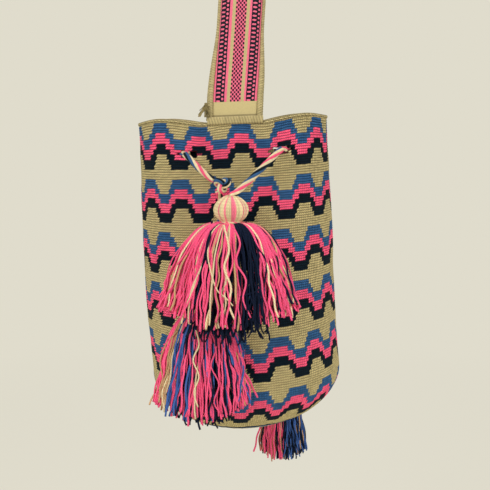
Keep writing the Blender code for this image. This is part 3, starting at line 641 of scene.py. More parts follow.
# The rim's edging is slightly darker all over and gets painted shade in dark marks between its stitches
# on its outer rows.
RIM_PAINTED_SHADES = (0.95, 0.50)
shade = random.Random(7)
stitch_shades = [[shade.uniform(0.86, 1.14) for _ in range(STITCHES)] for _ in range(rows_in_all + 4)]
dyes = np.zeros((len(stack) - 1, STITCHES, 3))
gaps = np.zeros((len(stack) - 1, STITCHES), bool)
for face_row in range(len(stack) - 1):
    pair = levels[face_row:face_row + 2]
    inside = face_row >= rim_count - 1
    on_rim = outer_count - 1 <= face_row < rim_count - 1
    if inside:
        row = math.floor(min(pair))
    elif on_rim:
        row = math.floor(max(pair) - 1e-6)
    else:
        row = math.floor((pair[0] + pair[1]) / 2)
    # Painted shade on the thin rows that lie in the grooves between stitch rows.
    groove_shade = not inside and not on_rim and pair[0] - pair[1] < 0.5
    for column in range(STITCHES):
        # Painted shade on the rim's edging, darkest in marks between its stitches.
        if on_rim:
            dark = (column + face_row) % 2 == 0 and 1 <= face_row - outer_count + 1 <= 5
            dye = np.array(SAND) * RIM_PAINTED_SHADES[dark]
        else:
            dye = np.array(wave_dye(column - STITCHES / 2 + 0.5, row))
            # Painted shade inside, partly the darker mix of carried yarns.
            if inside:
                dye = dye * INSIDE_SHADE_AND_YARN_MIX
        tone = stitch_shades[row % len(stitch_shades)][column]
        dyes[face_row, column] = dye * tone * (GROOVE_PAINTED_SHADE if groove_shade else 1.0)
        if row in SLIT_ROWS and not on_rim:
            half = SLIT_STITCHES / 2 - (0 if row == SLIT_ROWS[1] else SLIT_CORNER_STITCHES)
            for slit in slit_columns:
                off = (column + 0.5 - slit + STITCHES / 2) % STITCHES - STITCHES / 2
                if abs(off) <= half + 0.01:
                    gaps[face_row, column] = True
places = np.stack(np.broadcast_arrays(columns * np.ones((len(stack), 1)), levels[:, None]), axis=-1)
bm = lay_grid(points, dyes, places, gaps)
for slit in slit_columns:
    edges = [edge for edge in bm.edges if len(edge.link_faces) == 1]
    middle = Vector(pouch_ring(SLIT_DROP, 0.0, 0.0)[int(round(slit)) % STITCHES])
    near = [edge for edge in edges if (edge.verts[0].co - middle).length < 0.02]
    bmesh.ops.bridge_loops(bm, edges=near)

# One stitch of the crochet: it leans, bows up between its sides and between its rows, is
# wound of plies, and has a hole at each corner. Its height also sets its tone: painted
# shade in its hollows and holes, painted highlight on its tops.
STITCH_LEAN = 0.12
SIDE_SHARPNESS = 3.5
SIDE_DEPTH = 0.85
ROW_MIDDLE = 0.9
ROW_SHARPNESS = 2.2
LEG_RISE = 0.22
PLY_RISE = 0.08
HOLE_DEPTH = 0.80
HOLE_SHARPNESS = (2.5, 1.5)
CROCHET_PAINTED_LIGHT = (0.34, 1.50)
CLOTH_FIBRES = 2400.0
CLOTH_PATCHES = 60.0
crochet, tree, across, down = new_material("crocheted_cotton")
dye = add_node(tree, "ShaderNodeAttribute", attribute_name="dye")
stitch = calc(tree, "FRACT", across)
level = calc(tree, "FRACT", down)
leaning = calc(tree, "FRACT", plus(tree, across, times(tree, level, STITCH_LEAN)))
side_near = calc(tree, "ABSOLUTE", minus(tree, times(tree, leaning, 2.0), 1.0))
bow = minus(tree, 1.0, times(tree, calc(tree, "POWER", side_near, SIDE_SHARPNESS), SIDE_DEPTH))
legs = times(tree, calc(tree, "PINGPONG", leaning, 0.5), 2.0, clamp=True)
row_near = calc(tree, "ABSOLUTE", minus(tree, times(tree, level, 2.0), ROW_MIDDLE))
rise = minus(tree, 1.0, calc(tree, "POWER", row_near, ROW_SHARPNESS), clamp=True)
wound = plus(tree, times(tree, stitch, 3.0), times(tree, level, 2.0))
strand = calc(tree, "SINE", times(tree, wound, 2 * math.pi))
height = plus(tree, times(tree, bow, rise), times(tree, legs, LEG_RISE))
height = plus(tree, height, times(tree, strand, PLY_RISE))
beside_hole = calc(tree, "POWER", side_near, HOLE_SHARPNESS[0])
hole = times(tree, beside_hole, calc(tree, "POWER", row_near, HOLE_SHARPNESS[1]))
height = minus(tree, height, times(tree, hole, HOLE_DEPTH), clamp=True)
fibre = fibres(tree, CLOTH_FIBRES)
# The stitch's height becomes painted shade in its hollows and holes and painted highlight on its tops.
tone = shaded_by(tree, ramp(tree, height, 0.0, 1.2, *CROCHET_PAINTED_LIGHT), fibre, 0.14)
tone = shaded_by(tree, tone, fibres(tree, CLOTH_PATCHES, 3.0, 0.5), PATCH_AMOUNT)
shader = wear_dye(tree, dye, tone, plus(tree, height, times(tree, fibre, 0.4)), 0.7, 0.0006)
shader.inputs["Roughness"].default_value = 0.95
shader.inputs["Specular IOR Level"].default_value = 0.08
shader.inputs["Sheen Weight"].default_value = 0.015
shader.inputs["Sheen Roughness"].default_value = 0.6
finish_piece(bm, "crocheted_pouch", crochet, "bag", "wave_crochet", "pouch")

# The drawstring inside: the same cord lies against the inside of the pouch at each side,
# between the front slit and the rear one, and bends out through both.
CROSSING = 0.0042
CROSSING_HALF_LENGTH = 0.006
RUN_END = 0.0022
CORD_CLEARANCE = 0.001
FRONT_SETBACK = 0.0005
FRONT_STAND_OFF = 0.001
RUN_INSET = WALL + CORD_RADIUS + 2 * CORD_CLEARANCE


def beside_wall(share, outward, drop=SLIT_DROP):
    """A point that stands off the wall's outer face, level with this drop."""
    x, y, run = pouch_section(drop)
    at, ahead, behind = (((share + step) % 1.0) * run[-1] for step in (0, 0.002, -0.002))
    tangent = Vector((
        np.interp(ahead, run, x) - np.interp(behind, run, x),
        np.interp(ahead, run, y) - np.interp(behind, run, y),
        0,
    )).normalized()
    normal = Vector((tangent.y, -tangent.x, 0))
    spot = Vector((np.interp(at, run, x), np.interp(at, run, y), 0)) + normal * outward
    return MOUTH_CENTRE + Vector(RIGHT) * spot.x + Vector((0, spot.y, 0)) + Vector(DOWN) * drop


def through_slit(slit, way):
    """The way through one slit: along the outside, slantwise through the wall, then inside."""
    outer_end = CROSSING_HALF_LENGTH - CROSSING
    outside = CORD_RADIUS + CORD_CLEARANCE
    return [
        beside_wall(slit - way * (outer_end + RUN_END) / slit_round, outside),
        beside_wall(slit - way * (outer_end - FRONT_SETBACK) / slit_round, outside),
        beside_wall(slit + way * CROSSING / slit_round, -WALL / 2),
        beside_wall(slit + way * (CROSSING + CROSSING_HALF_LENGTH) / slit_round, -RUN_INSET),
    ]


front_left, front_right, rear_right, rear_left = slit_shares
for number, (name, front, rear) in enumerate((
    ("drawstring_run_left", front_left, rear_left - 1),
    ("drawstring_run_right", front_right, rear_right),
)):
    way = math.copysign(1, rear - front)
    bare = way * (CROSSING + 2 * CROSSING_HALF_LENGTH) / slit_round
    route = [beside_wall(front - way * FRONT_SETBACK / slit_round, FRONT_STAND_OFF)]
    route += through_slit(front, way)[2:]
    route += [beside_wall(float(turn), -RUN_INSET) for turn in np.linspace(front + bare, rear - bare, 12)]
    route += through_slit(rear, -way)[::-1]
    path = smooth_route(route, CORD_ROW)
    length = float(np.linalg.norm(np.diff(path, axis=0), axis=1).sum())
    twist = length / round(length / CORD_TWIST)
    bm = twisted_cord(path, CORD_SURFACE, CORD_STRANDS[::-1], twist, 30 + number)
    finish_piece(bm, f"{name}_twist", cord_yarn, "bag", "twisted_cord", name)

# The strap: one long woven band whose foot is sewn to the rim in front and behind. Three
# stripes of picked-up pink and navy thread run the whole loop on the sand ground, and its
# edges curl in a little above the rim.
STRAP_RISE = 0.480
STRAP_THICKNESS = 0.003
BAND_HALF_WIDTH = 0.0208
EDGING_WIDTH = 0.0056
EDGING_THICKNESS = 0.0046
HOOK_RADIUS = 0.008
FLAT_HALF_WIDTH = 0.009
CURL_ANGLE = 1.48
CURL_STARTS = (0.02, 0.17)
CURL_ENDS = (0.35, 0.40)
STRAP_FOOT_X = -0.0093
STRAP_FOOT_SETBACK = 0.0012
SEAT_GAP = 0.0003
STRAP_PINK = (0.86, 0.158, 0.25)
PALE_SAND = (0.585, 0.475, 0.222)
STRAP_NAVY = (0.008, 0.010, 0.018)
SPECK = (0.040, 0.006, 0.018)
SWAY_RISES = (0.0, 0.05, 0.18, 0.26, 0.50, 0.75)
SWAY = (-0.0008, -0.0011, 0.0006, 0.0017, 0.0012, 0.0)


def strap_path(share):
    """Centre, way up and way out of the strap at this share of its loop, front foot to rear."""
    mirrored = share > 0.5
    share = 1 - share if mirrored else share
    radius = HOOK_RADIUS + STRAP_THICKNESS / 2
    foot = Vector((-(MOUTH_HALF_DEPTH - WALL / 2 - STRAP_FOOT_SETBACK), -STRAP_RISE + SEAT_GAP))
    centre = Vector((0, -HOOK_RADIUS))
    reach = foot - centre
    turn = math.atan2(-reach.x, -reach.y) + math.acos(radius / reach.length)
    touch = centre + radius * Vector((-math.sin(turn), -math.cos(turn)))
    straight = (touch - foot).length
    start_angle = math.atan2(touch.y - centre.y, touch.x - centre.x)
    total = straight + radius * (start_angle - math.pi / 2)
    run = share * 2 * total
    if run < straight:
        spot = foot.lerp(touch, run / straight)
        along = (touch - foot).normalized()
    else:
        angle = start_angle - (run - straight) / radius
        spot = centre + radius * Vector((math.cos(angle), math.sin(angle)))
        along = Vector((math.sin(angle), -math.cos(angle)))
    rising = min(1.0, run / total)
    sway = float(np.interp(rising, SWAY_RISES, SWAY))
    point = Vector((STRAP_FOOT_X * (1 - rising) ** 3 + sway, spot.x, spot.y))
    out = Vector((0, -along.y, along.x))
    if mirrored:
        point.y, out.y = -point.y, -out.y
    return point, out, rising, 2 * total


def strap_point(station, across, raised):
    """A point of the strap, across its width and raised off its middle layer, outwards."""
    point, out, rising, _ = station
    tilt = LEAN * (1 - rising) ** 6
    side = Vector((math.cos(tilt), 0, math.sin(tilt)))
    beyond = max(0.0, abs(across) - FLAT_HALF_WIDTH)
    curling = ease((rising - CURL_STARTS[0]) / CURL_STARTS[1])
    curl = float(curling * (1 - ease((rising - CURL_ENDS[0]) / CURL_ENDS[1])))
    angle = CURL_ANGLE * curl * beyond / (BAND_HALF_WIDTH + EDGING_WIDTH - FLAT_HALF_WIDTH)
    sideways, inward = beyond, 0.0
    if angle > 1e-6:
        sideways = beyond / angle * math.sin(angle)
        inward = beyond / angle * (1 - math.cos(angle))
    sign = math.copysign(1, across)
    level = min(abs(across), FLAT_HALF_WIDTH) + sideways
    face = out * math.cos(angle) + side * (sign * math.sin(angle))
    return point + side * (sign * level) - out * inward + face * raised


# The band's stripes, in millimetres from its middle. Each side stripe is pink with a navy
# part, which has a row of pink slots and one of pink dots. The middle stripe has dark specks.
WEAVE_PERIOD = 4.0
PLAIN_FOOT = 17.2
SEAM_FOOT = 4.9
STRIPE_INNER = 8.2
STRIPE_OUTER = 20.8
NAVY_PART = (1.9, 10.3)
SLOT_PLACE = 4.5
SLOT_HALF_SIZES = (1.9, 0.82)
DOT_PLACE = 8.4
DOT_HALF_SIZES = (1.05, 1.15)
CENTRE_HALF = 5.1
CENTRE_RAISED_HALF = 5.0
SPECK_LANE = 1.7
SPECK_HALF_SIZES = (0.90, 1.22)
RAISED_SLOT = (2.6, 6.4)
PICK_HEIGHTS = {"navy": 0.00028, "slot": 0.00008, "pink": 0.00018, "centre": 0.00015}


def weave_height(across, along):
    """How far the picked-up threads stand above the ground weave, across and along in mm."""
    local = across + STRIPE_OUTER if across < 0 else across - STRIPE_INNER
    phase = (along / WEAVE_PERIOD) % 1.0
    if STRIPE_INNER < abs(across) < STRIPE_OUTER:
        if NAVY_PART[0] < local < NAVY_PART[1]:
            in_slot = abs(phase - 0.5) <= 0.22 and RAISED_SLOT[0] < local < RAISED_SLOT[1]
            return PICK_HEIGHTS["slot" if in_slot else "navy"]
        return PICK_HEIGHTS["pink"]
    if abs(across) < CENTRE_RAISED_HALF:
        return PICK_HEIGHTS["centre"]
    return 0.0


EDGE_ROUNDING = 0.001
PICK_ROOM = 0.0002
STRAP_ROW = 0.001
strap_length = strap_path(0.0)[3]
strap_mm = strap_length * 1000
rows = round(strap_length / STRAP_ROW)
stations = [strap_path(row / rows) for row in range(rows + 1)]
outer_edge = np.linspace(-BAND_HALF_WIDTH, BAND_HALF_WIDTH, 45)
inner_edge = np.linspace(BAND_HALF_WIDTH, -BAND_HALF_WIDTH, 25)
points = []
places = []
for row, station in enumerate(stations):
    along = row / rows * strap_mm
    plain = along < PLAIN_FOOT or along > strap_mm - PLAIN_FOOT
    line = []
    for across in outer_edge:
        rim = min(1.0, (BAND_HALF_WIDTH - abs(across)) / EDGE_ROUNDING)
        raised = STRAP_THICKNESS / 2 * (0.6 + 0.4 * rim) - PICK_ROOM
        raised += 0.0 if plain else weave_height(across * 1000, along)
        line.append(strap_point(station, across, raised))
    for across in inner_edge:
        rim = min(1.0, (BAND_HALF_WIDTH - abs(across)) / EDGE_ROUNDING)
        line.append(strap_point(station, across, -STRAP_THICKNESS / 2 * (0.6 + 0.4 * rim)))
    points.append([*line, line[0]])
    places.append([(across * 1000, along) for across in (*outer_edge, *inner_edge, outer_edge[0])])
points = np.array(points)
places = np.array(places)
dyes = np.zeros((rows, points.shape[1] - 1, 3)) + np.array(SAND)
bm = lay_grid(points, dyes, places)
ends = [edge for edge in bm.edges if len(edge.link_faces) == 1]
bmesh.ops.holes_fill(bm, edges=ends, sides=0)


def between(tree, value, low, high):
    """One where a value lies between two limits, nought elsewhere."""
    above = calc(tree, "GREATER_THAN", value, low)
    return times(tree, above, calc(tree, "LESS_THAN", value, high))


def spot_mask(tree, x, y, halves, power=2.0):
    """One inside a rounded spot of this size, nought outside."""
    wide, tall = (
        calc(tree, "POWER", calc(tree, "DIVIDE", calc(tree, "ABSOLUTE", value), half), power)
        for value, half in zip((x, y), halves)
    )
    return calc(tree, "LESS_THAN", plus(tree, wide, tall), 1.0)


def wrapped(tree, value, period, phase=0.0):
    """Distance of a value from the nearest line of a row of lines, in the value's own units."""
    turns = calc(tree, "FRACT", plus(tree, calc(tree, "DIVIDE", value, period), phase))
    return times(tree, minus(tree, turns, 0.5), period)


def dyed(tree, share, under, over):
    """One dye laid over another where the share is one."""
    mixing = tree.nodes.new("ShaderNodeMix")
    mixing.data_type = "RGBA"
    tree.links.new(share, mixing.inputs[0])
    for socket, dye in ((6, under), (7, over)):
        if isinstance(dye, bpy.types.NodeSocket):
            tree.links.new(dye, mixing.inputs[socket])
        else:
            mixing.inputs[socket].default_value = (*dye, 1)
    return mixing.outputs[2]


weave, tree, across, along = new_material("picked_up_weave")
place = across.node.inputs[0].links[0].from_socket
wobble = add_node(tree, "ShaderNodeTexNoise", {"Vector": place, "Scale": 0.35, "Detail": 1.0})
picks = plus(tree, along, times(tree, minus(tree, wobble, 0.5), 0.9))
on_left = calc(tree, "LESS_THAN", across, 0.0)
local = minus(tree, across, STRIPE_INNER)
local = plus(tree, local, times(tree, on_left, STRIPE_INNER + STRIPE_OUTER))
side_stripe = between(tree, calc(tree, "ABSOLUTE", across), STRIPE_INNER, STRIPE_OUTER)
slot_y = wrapped(tree, picks, WEAVE_PERIOD)
slot = spot_mask(tree, minus(tree, local, SLOT_PLACE), slot_y, SLOT_HALF_SIZES, 3.0)
dot_y = wrapped(tree, picks, WEAVE_PERIOD, 0.5)
dot = spot_mask(tree, minus(tree, local, DOT_PLACE), dot_y, DOT_HALF_SIZES)
bare = minus(tree, 1.0, calc(tree, "MAXIMUM", slot, dot))
navy_part = times(tree, between(tree, local, *NAVY_PART), bare)
centre = calc(tree, "LESS_THAN", calc(tree, "ABSOLUTE", across), CENTRE_HALF)
from_edge = plus(tree, across, CENTRE_HALF)
lane = calc(tree, "FLOOR", calc(tree, "DIVIDE", from_edge, SPECK_LANE))
lane_shift = times(tree, calc(tree, "MODULO", lane, 2.0), 0.5)
lane_x = wrapped(tree, from_edge, SPECK_LANE)
lane_y = wrapped(tree, picks, WEAVE_PERIOD, lane_shift)
speck = times(tree, spot_mask(tree, lane_x, lane_y, SPECK_HALF_SIZES), centre)
foot = calc(tree, "MINIMUM", along, minus(tree, strap_mm, along))
striped = calc(tree, "GREATER_THAN", foot, PLAIN_FOOT)
pink_part = times(tree, calc(tree, "MAXIMUM", side_stripe, centre), striped)
ground = dyed(tree, striped, PALE_SAND, SAND)
ground = dyed(tree, pink_part, ground, STRAP_PINK)
ground = dyed(tree, times(tree, times(tree, navy_part, side_stripe), striped), ground, STRAP_NAVY)
ground = dyed(tree, times(tree, speck, striped), ground, SPECK)
WARP_PITCH = 0.85
WEFT_PITCH = 1.0
WEAVE_PAINTED_LIGHT = (0.84, 1.06)
SEAM_SHADE = 0.42
# The warp and weft also set the band's tone: painted shade between the threads, painted highlight on
# them.
warp = calc(tree, "SINE", times(tree, across, 2 * math.pi / WARP_PITCH))
weft = calc(tree, "SINE", times(tree, along, 2 * math.pi / WEFT_PITCH))
cloth = plus(tree, times(tree, warp, 0.5), times(tree, weft, 0.35))
fibre = fibres(tree, CLOTH_FIBRES)
tone = shaded_by(tree, ramp(tree, cloth, -0.85, 0.85, *WEAVE_PAINTED_LIGHT), fibre, 0.12)
seam = calc(tree, "LESS_THAN", foot, SEAM_FOOT)
tone = times(tree, tone, minus(tree, 1.0, times(tree, seam, SEAM_SHADE)))
shader = wear_dye(tree, ground, tone, plus(tree, cloth, fibre), 0.5, 0.00025)
shader.inputs["Roughness"].default_value = 0.9
shader.inputs["Specular IOR Level"].default_value = 0.2
shader.inputs["Sheen Weight"].default_value = 0.05
strap = finish_piece(bm, "woven_strap", weave, "bag", "strap_weave", "shoulder_strap")

# The strap's edges: a round of sand crochet is whipped over each side of the band, so its
# stitches slant round the edge like the turns of a rope. The gaps between its stitches get
# painted shade, deepest on the outer side.
sand_yarn = yarn_material("sand_crochet_yarn", 3, 0.0024, 0.35)
STITCH_PITCH = 0.0026
EDGING_SIDES = 12
EDGING_ROW = 0.00065
EDGING_SLANT = 1.2
EDGING_SWELL = (0.98, 0.18)
OUTER_GAP_PAINTED_SHADE = 0.46
INNER_GAP_PAINTED_SHADE = 0.88
GAP_WIDTH = 0.34
OUTER_SIDE = 0.35
rows = round(strap_length / EDGING_ROW)
stations = [strap_path(row / rows) for row in range(rows + 1)]
for name, side in (("strap_edging_left", -1), ("strap_edging_right", 1)):
    middle = BAND_HALF_WIDTH + SEAT_GAP + EDGING_WIDTH / 2
    shade = random.Random(11 + side)
    tones = [shade.uniform(0.88, 1.1) for _ in range(int(strap_length / STITCH_PITCH) + 6)]
    points = np.zeros((rows + 1, EDGING_SIDES + 1, 3))
    places = np.zeros((rows + 1, EDGING_SIDES + 1, 2))
    dyes = np.zeros((rows, EDGING_SIDES, 3))
    for row, station in enumerate(stations):
        along = row / rows * strap_length
        for corner in range(EDGING_SIDES + 1):
            turn = 2 * math.pi * (corner % EDGING_SIDES) / EDGING_SIDES
            phase = along / STITCH_PITCH + side * EDGING_SLANT * math.sin(turn)
            stitch_rise = abs(math.sin(math.pi * phase))
            swell = EDGING_SWELL[0] + EDGING_SWELL[1] * stitch_rise
            across = side * (middle + EDGING_WIDTH / 2 * swell * math.cos(turn))
            raised = EDGING_THICKNESS / 2 * swell * math.sin(turn)
            points[row, corner] = strap_point(station, across, raised)
            places[row, corner] = (corner / EDGING_SIDES, along)
            if row < rows and corner < EDGING_SIDES:
                # Painted shade in the gaps between stitches, darker on the outer side.
                gap_shade = OUTER_GAP_PAINTED_SHADE if math.cos(turn) > OUTER_SIDE else INNER_GAP_PAINTED_SHADE
                tone = gap_shade if stitch_rise < GAP_WIDTH else 1.0
                dyes[row, corner] = np.array(SAND) * tones[int(phase + 2)] * tone
    bm = lay_grid(points, dyes, places)
    ends = [edge for edge in bm.edges if len(edge.link_faces) == 1]
    bmesh.ops.holes_fill(bm, edges=ends, sides=0)
    finish_piece(bm, f"{name}_stitches", sand_yarn, "bag", "sand_crochet", name)

# The tuft at the strap's left foot: the ends of the sewing yarn are left to fray there, a
# small bunch of short, loose sand strands that hang over the rim.
TUFT_ROOT = (-0.0366, -0.0722, -0.4640)
TUFT_ROOT_RADIUS = 0.0012
TUFT_STRANDS = 22
TUFT_STRAND_RADIUS = 0.00048
TUFT_LENGTH = 0.0125
TUFT_SPREAD = (-0.0075, 0.0030)
TUFT_AHEAD = (-0.0012, 0.0030)
TUFT_CURL = 0.0012
FRAYED_SAND = (0.30, 0.235, 0.095)


def strand_bundle(paths, dyes, radius, sides, seed, neck_level):
    """A bundle of strands in one mesh: each strand is a thin tube with closed ends."""
    rows = max(len(path) for path in paths) + 1
    shade = random.Random(seed)
    points = np.zeros((len(paths) * (rows + 1), sides + 1, 3))
    places = np.zeros((len(paths) * (rows + 1), sides + 1, 2))
    colours = np.zeros((len(paths) * (rows + 1) - 1, sides, 3))
    gaps = np.zeros((len(paths) * (rows + 1) - 1, sides), bool)
    angle = np.linspace(0, 2 * math.pi, sides + 1)
    for number, (path, (dye, skirt_dye, headed)) in enumerate(zip(paths, dyes)):
        run = np.linspace(0, len(path) - 1, rows - 1)
        path = np.stack([np.interp(run, np.arange(len(path)), axis) for axis in path.T], axis=1)
        path = np.vstack([path[:1], path, path[-1:]])
        sideways, ups = carried_frame(path + np.linspace(0, 1e-5, len(path))[:, None])
        size = np.full(len(path), radius * shade.uniform(0.75, 1.12))
        size[0] = size[-1] = 0
        start = number * (rows + 1)
        points[start:start + rows + 1] = path[:, None, :] + (
            sideways[:, None, :] * (np.cos(angle) * size[:, None])[..., None]
            + ups[:, None, :] * (np.sin(angle) * size[:, None])[..., None]
        )
        length = np.concatenate([[0], np.cumsum(np.linalg.norm(np.diff(path, axis=0), axis=1))])
        places[start:start + rows + 1, :, 0] = angle / (2 * math.pi)
        places[start:start + rows + 1, :, 1] = length[:, None]
        tone = shade.uniform(0.82, 1.15)
        for row in range(rows):
            below = path[min(row + 1, len(path) - 1), 2] < neck_level
            used = skirt_dye if headed and below else dye
            colours[start + row] = np.array(used) * tone
        if start + rows < len(gaps):
            gaps[start + rows] = True
    return lay_grid(points, colours, places, gaps)


draw = random.Random(3)
paths = []
dyes = []
for number in range(TUFT_STRANDS):
    out = draw.uniform(*TUFT_SPREAD)
    fall = TUFT_LENGTH * draw.uniform(0.55, 1.1)
    ahead = draw.uniform(*TUFT_AHEAD)
    curl = draw.uniform(-TUFT_CURL, TUFT_CURL)
    spots = []
    for share in np.linspace(0, 1, 6):
        x = TUFT_ROOT_RADIUS * math.sin(number * 2.4) * (1 - share) + out * share**1.3
        x += curl * math.sin(5 * share)
        spots.append(np.array(TUFT_ROOT) + np.array((x, -ahead * math.sin(2 * share), -fall * share)))
    paths.append(smooth_route(spots, 0.0012))
    tone = np.array(FRAYED_SAND) * draw.uniform(0.4, 1.5)
    dyes.append((tone, tone, False))
bm = strand_bundle(paths, dyes, TUFT_STRAND_RADIUS, 6, 3, 0.0)
finish_piece(bm, "strap_foot_tuft", sand_yarn, "bag", "sand_crochet")

# The strap's joins: a ribbed band of sand crochet laps over the rim and the strap's foot,
# outside the wall, and holds the two together. Its ribs get painted highlight and the furrows
# between them painted shade.
JOIN_LAP = 0.0036
RIB_PITCH = 0.0026
RIB_HEIGHT = 0.0006
RIB_PAINTED_LIGHT = (0.80, 1.10)
JOIN_PROFILE = (
    (JOIN_LAP, 0.0006), (JOIN_LAP + 0.0003, 0.0014), (JOIN_LAP * 0.7, 0.0021),
    (JOIN_LAP * 0.3, 0.0026), (-0.0003, 0.0024), (-JOIN_LAP * 0.35, 0.0026),
    (-JOIN_LAP * 0.75, 0.0022), (-JOIN_LAP, 0.0014), (-JOIN_LAP, 0.0006),
)
join_half = BAND_HALF_WIDTH + EDGING_WIDTH
rim_length = pouch_section(0)[2][-1]
columns = round(2 * join_half / RIB_PITCH) * 4
for name, front in (("strap_join_front", True), ("strap_join_rear", False)):
    points = np.zeros((len(JOIN_PROFILE) + 1, columns + 1, 3))
    places = np.zeros((len(JOIN_PROFILE) + 1, columns + 1, 2))
    dyes = np.zeros((len(JOIN_PROFILE), columns, 3))
    shade = random.Random(5 if front else 6)
    tones = [shade.uniform(0.9, 1.1) for _ in range(columns // 4 + 2)]
    for step, (drop, out) in enumerate(JOIN_PROFILE + JOIN_PROFILE[:1]):
        for column in range(columns + 1):
            across = join_half * (2 * column / columns - 1)
            run = (STRAP_FOOT_X - MOUTH_CENTRE.x + across) * (1 if front else -1)
            share = run / rim_length + (0 if front else 0.5)
            rib = 0.5 - 0.5 * math.cos(2 * math.pi * (column / 4 + step * 0.12))
            reach = out + (RIB_HEIGHT * (rib - 0.5) if out > 0.001 else 0)
            points[step, column] = beside_wall(share, reach, drop)
            places[step, column] = (column / 4, step * 0.001)
            if step < len(JOIN_PROFILE) and column < columns:
                # Painted highlight on the raised ribs, painted shade in the furrows between them.
                tone = tones[column // 4] * RIB_PAINTED_LIGHT[rib >= 0.3]
                dyes[step, column] = np.array(SAND) * tone
    bm = lay_grid(points, dyes, places)
    ends = [edge for edge in bm.edges if len(edge.link_faces) == 1]
    bmesh.ops.holes_fill(bm, edges=ends, sides=0)
    finish_piece(bm, f"{name}_ribs", sand_yarn, "bag", "sand_crochet", name)

# The tassels: long hanks of cotton yarn folded over their cord, bound into a round head and
# cut off below. The front pair and the rear pair hang one above the other.
HEAD_HALF_WIDTH = 0.0162
HEAD_HALF_DEPTH = 0.0138
HEAD_HEIGHT = 0.0250
HEAD_ROUNDNESS = 0.6
NECK_RADIUS = 0.0080
TIE_HEIGHT = 0.0050
TIE_THICKNESS = 0.0022
SKIRT_HALF_DEPTH = 0.0115
SKIRT_BOW = 0.3
SKIRT_FAN = 0.29
END_RISE = 0.32
RAGGED_ENDS = 0.0025
HEAD_STRANDS = 116
STRAND_RADIUS = 0.00095
STRAND_SIDES = 6
STRAND_ROW = 0.0036
DEEP_PART = 0.40
DEEP_NAVY_PART = 0.86
INNER_LAYER = 0.93
GOLDEN_TURN = 0.618034
DEEP_REACH = (0.30, 0.78)
OUTER_REACH = (0.84, 1.0)
HEAD_REACH = 0.98
SWAY_SIZES = (0.0014, 0.0010)
KINK_SIZES = (0.0007, 0.0004)
WANDER = 0.06
LOOSE_PART = 0.05
LOOSE_REACH = 0.010
tassel_yarn = yarn_material("tassel_cotton", 2, 0.0030, 0.26, sheen=0.02, bump=0.45)
TAN = (0.60, 0.36, 0.18)
SALMON = (0.66, 0.28, 0.19)
BRIGHT_BLUE = (0.055, 0.13, 0.38)
HEAD_PINK = (1.0, 0.24, 0.32)
HEAD_CREAM = (0.86, 0.70, 0.395)
# Each tassel: its body, its crown, the middle of its cut ends, half the width of its skirt,
# how many strands it has, and a seed.
TASSELS = {
    "front_upper_tassel": (
        "front_upper_swing", (-0.0130, -0.1030, -0.5487), (-0.0150, -0.1370, -0.6730), 0.0625, 330, 40,
    ),
    "front_lower_tassel": (
        "front_lower_swing", (-0.0390, -0.1040, -0.6345), (-0.0400, -0.1165, -0.7615), 0.0440, 300, 41,
    ),
    "rear_upper_tassel": (
        "rear_upper_swing", (0.0310, 0.1180, -0.6910), (0.0310, 0.1380, -0.8150), 0.057, 310, 42,
    ),
    "rear_lower_tassel": (
        "rear_lower_swing", (0.0430, 0.1030, -0.7748), (0.0475, 0.1030, -0.8930), 0.027, 220, 43,
    ),
}
# The yarns that hang side by side across each skirt: how far each zone reaches to the right,
# as a share of the skirt's half-width, and its yarns with the part that each takes.
SKIRT_ZONES = {
    "front_upper_tassel": (
        (-0.58, (HOT_PINK, 0.88), (CREAM, 0.05), (TAN, 0.07)),
        (-0.36, (HOT_PINK, 0.66), (TASSEL_NAVY, 0.26), (CREAM, 0.08)),
        (0.13, (HOT_PINK, 0.57), (CREAM, 0.24), (TAN, 0.09), (TASSEL_NAVY, 0.10)),
        (0.58, (TASSEL_NAVY, 0.84), (HOT_PINK, 0.12), (CREAM, 0.04)),
        (9.0, (HOT_PINK, 0.66), (TAN, 0.16), (CREAM, 0.06), (TASSEL_NAVY, 0.12)),
    ),
    "front_lower_tassel": (
        (-0.93, (HOT_PINK, 1.0)),
        (-0.76, (TAN, 0.30), (CREAM, 0.14), (HOT_PINK, 0.56)),
        (-0.52, (BRIGHT_BLUE, 0.62), (HOT_PINK, 0.38)),
        (-0.38, (HOT_PINK, 0.80), (TASSEL_NAVY, 0.20)),
        (-0.20, (BRIGHT_BLUE, 0.66), (HOT_PINK, 0.34)),
        (-0.07, (CREAM, 0.24), (HOT_PINK, 0.60), (TASSEL_NAVY, 0.16)),
        (0.80, (HOT_PINK, 0.58), (TASSEL_NAVY, 0.26), (BRIGHT_BLUE, 0.16)),
        (9.0, (TAN, 0.22), (HOT_PINK, 0.42), (BRIGHT_BLUE, 0.36)),
    ),
    "rear_upper_tassel": (
        (-0.40, (HOT_PINK, 0.70), (TAN, 0.12), (TASSEL_NAVY, 0.18)),
        (0.10, (BRIGHT_BLUE, 0.45), (HOT_PINK, 0.35), (CREAM, 0.20)),
        (9.0, (HOT_PINK, 0.62), (TASSEL_NAVY, 0.28), (TAN, 0.10)),
    ),
    "rear_lower_tassel": (
        (0.05, (HOT_PINK, 0.46), (SALMON, 0.36), (TASSEL_NAVY, 0.18)),
        (9.0, (TASSEL_NAVY, 0.52), (BRIGHT_BLUE, 0.36), (TAN, 0.12)),
    ),
}
CUT_SHORTER = {"front_upper_tassel": 0.0095, "front_lower_tassel": 0.005, "rear_upper_tassel": 0.006}
HEAD_LINES = (-60, -46, -19, 46, 62, 84, 130, 178, -130, -95)
HEAD_LINE_HALF = 2.4
HEAD_BROAD_LINE = (0, 22)
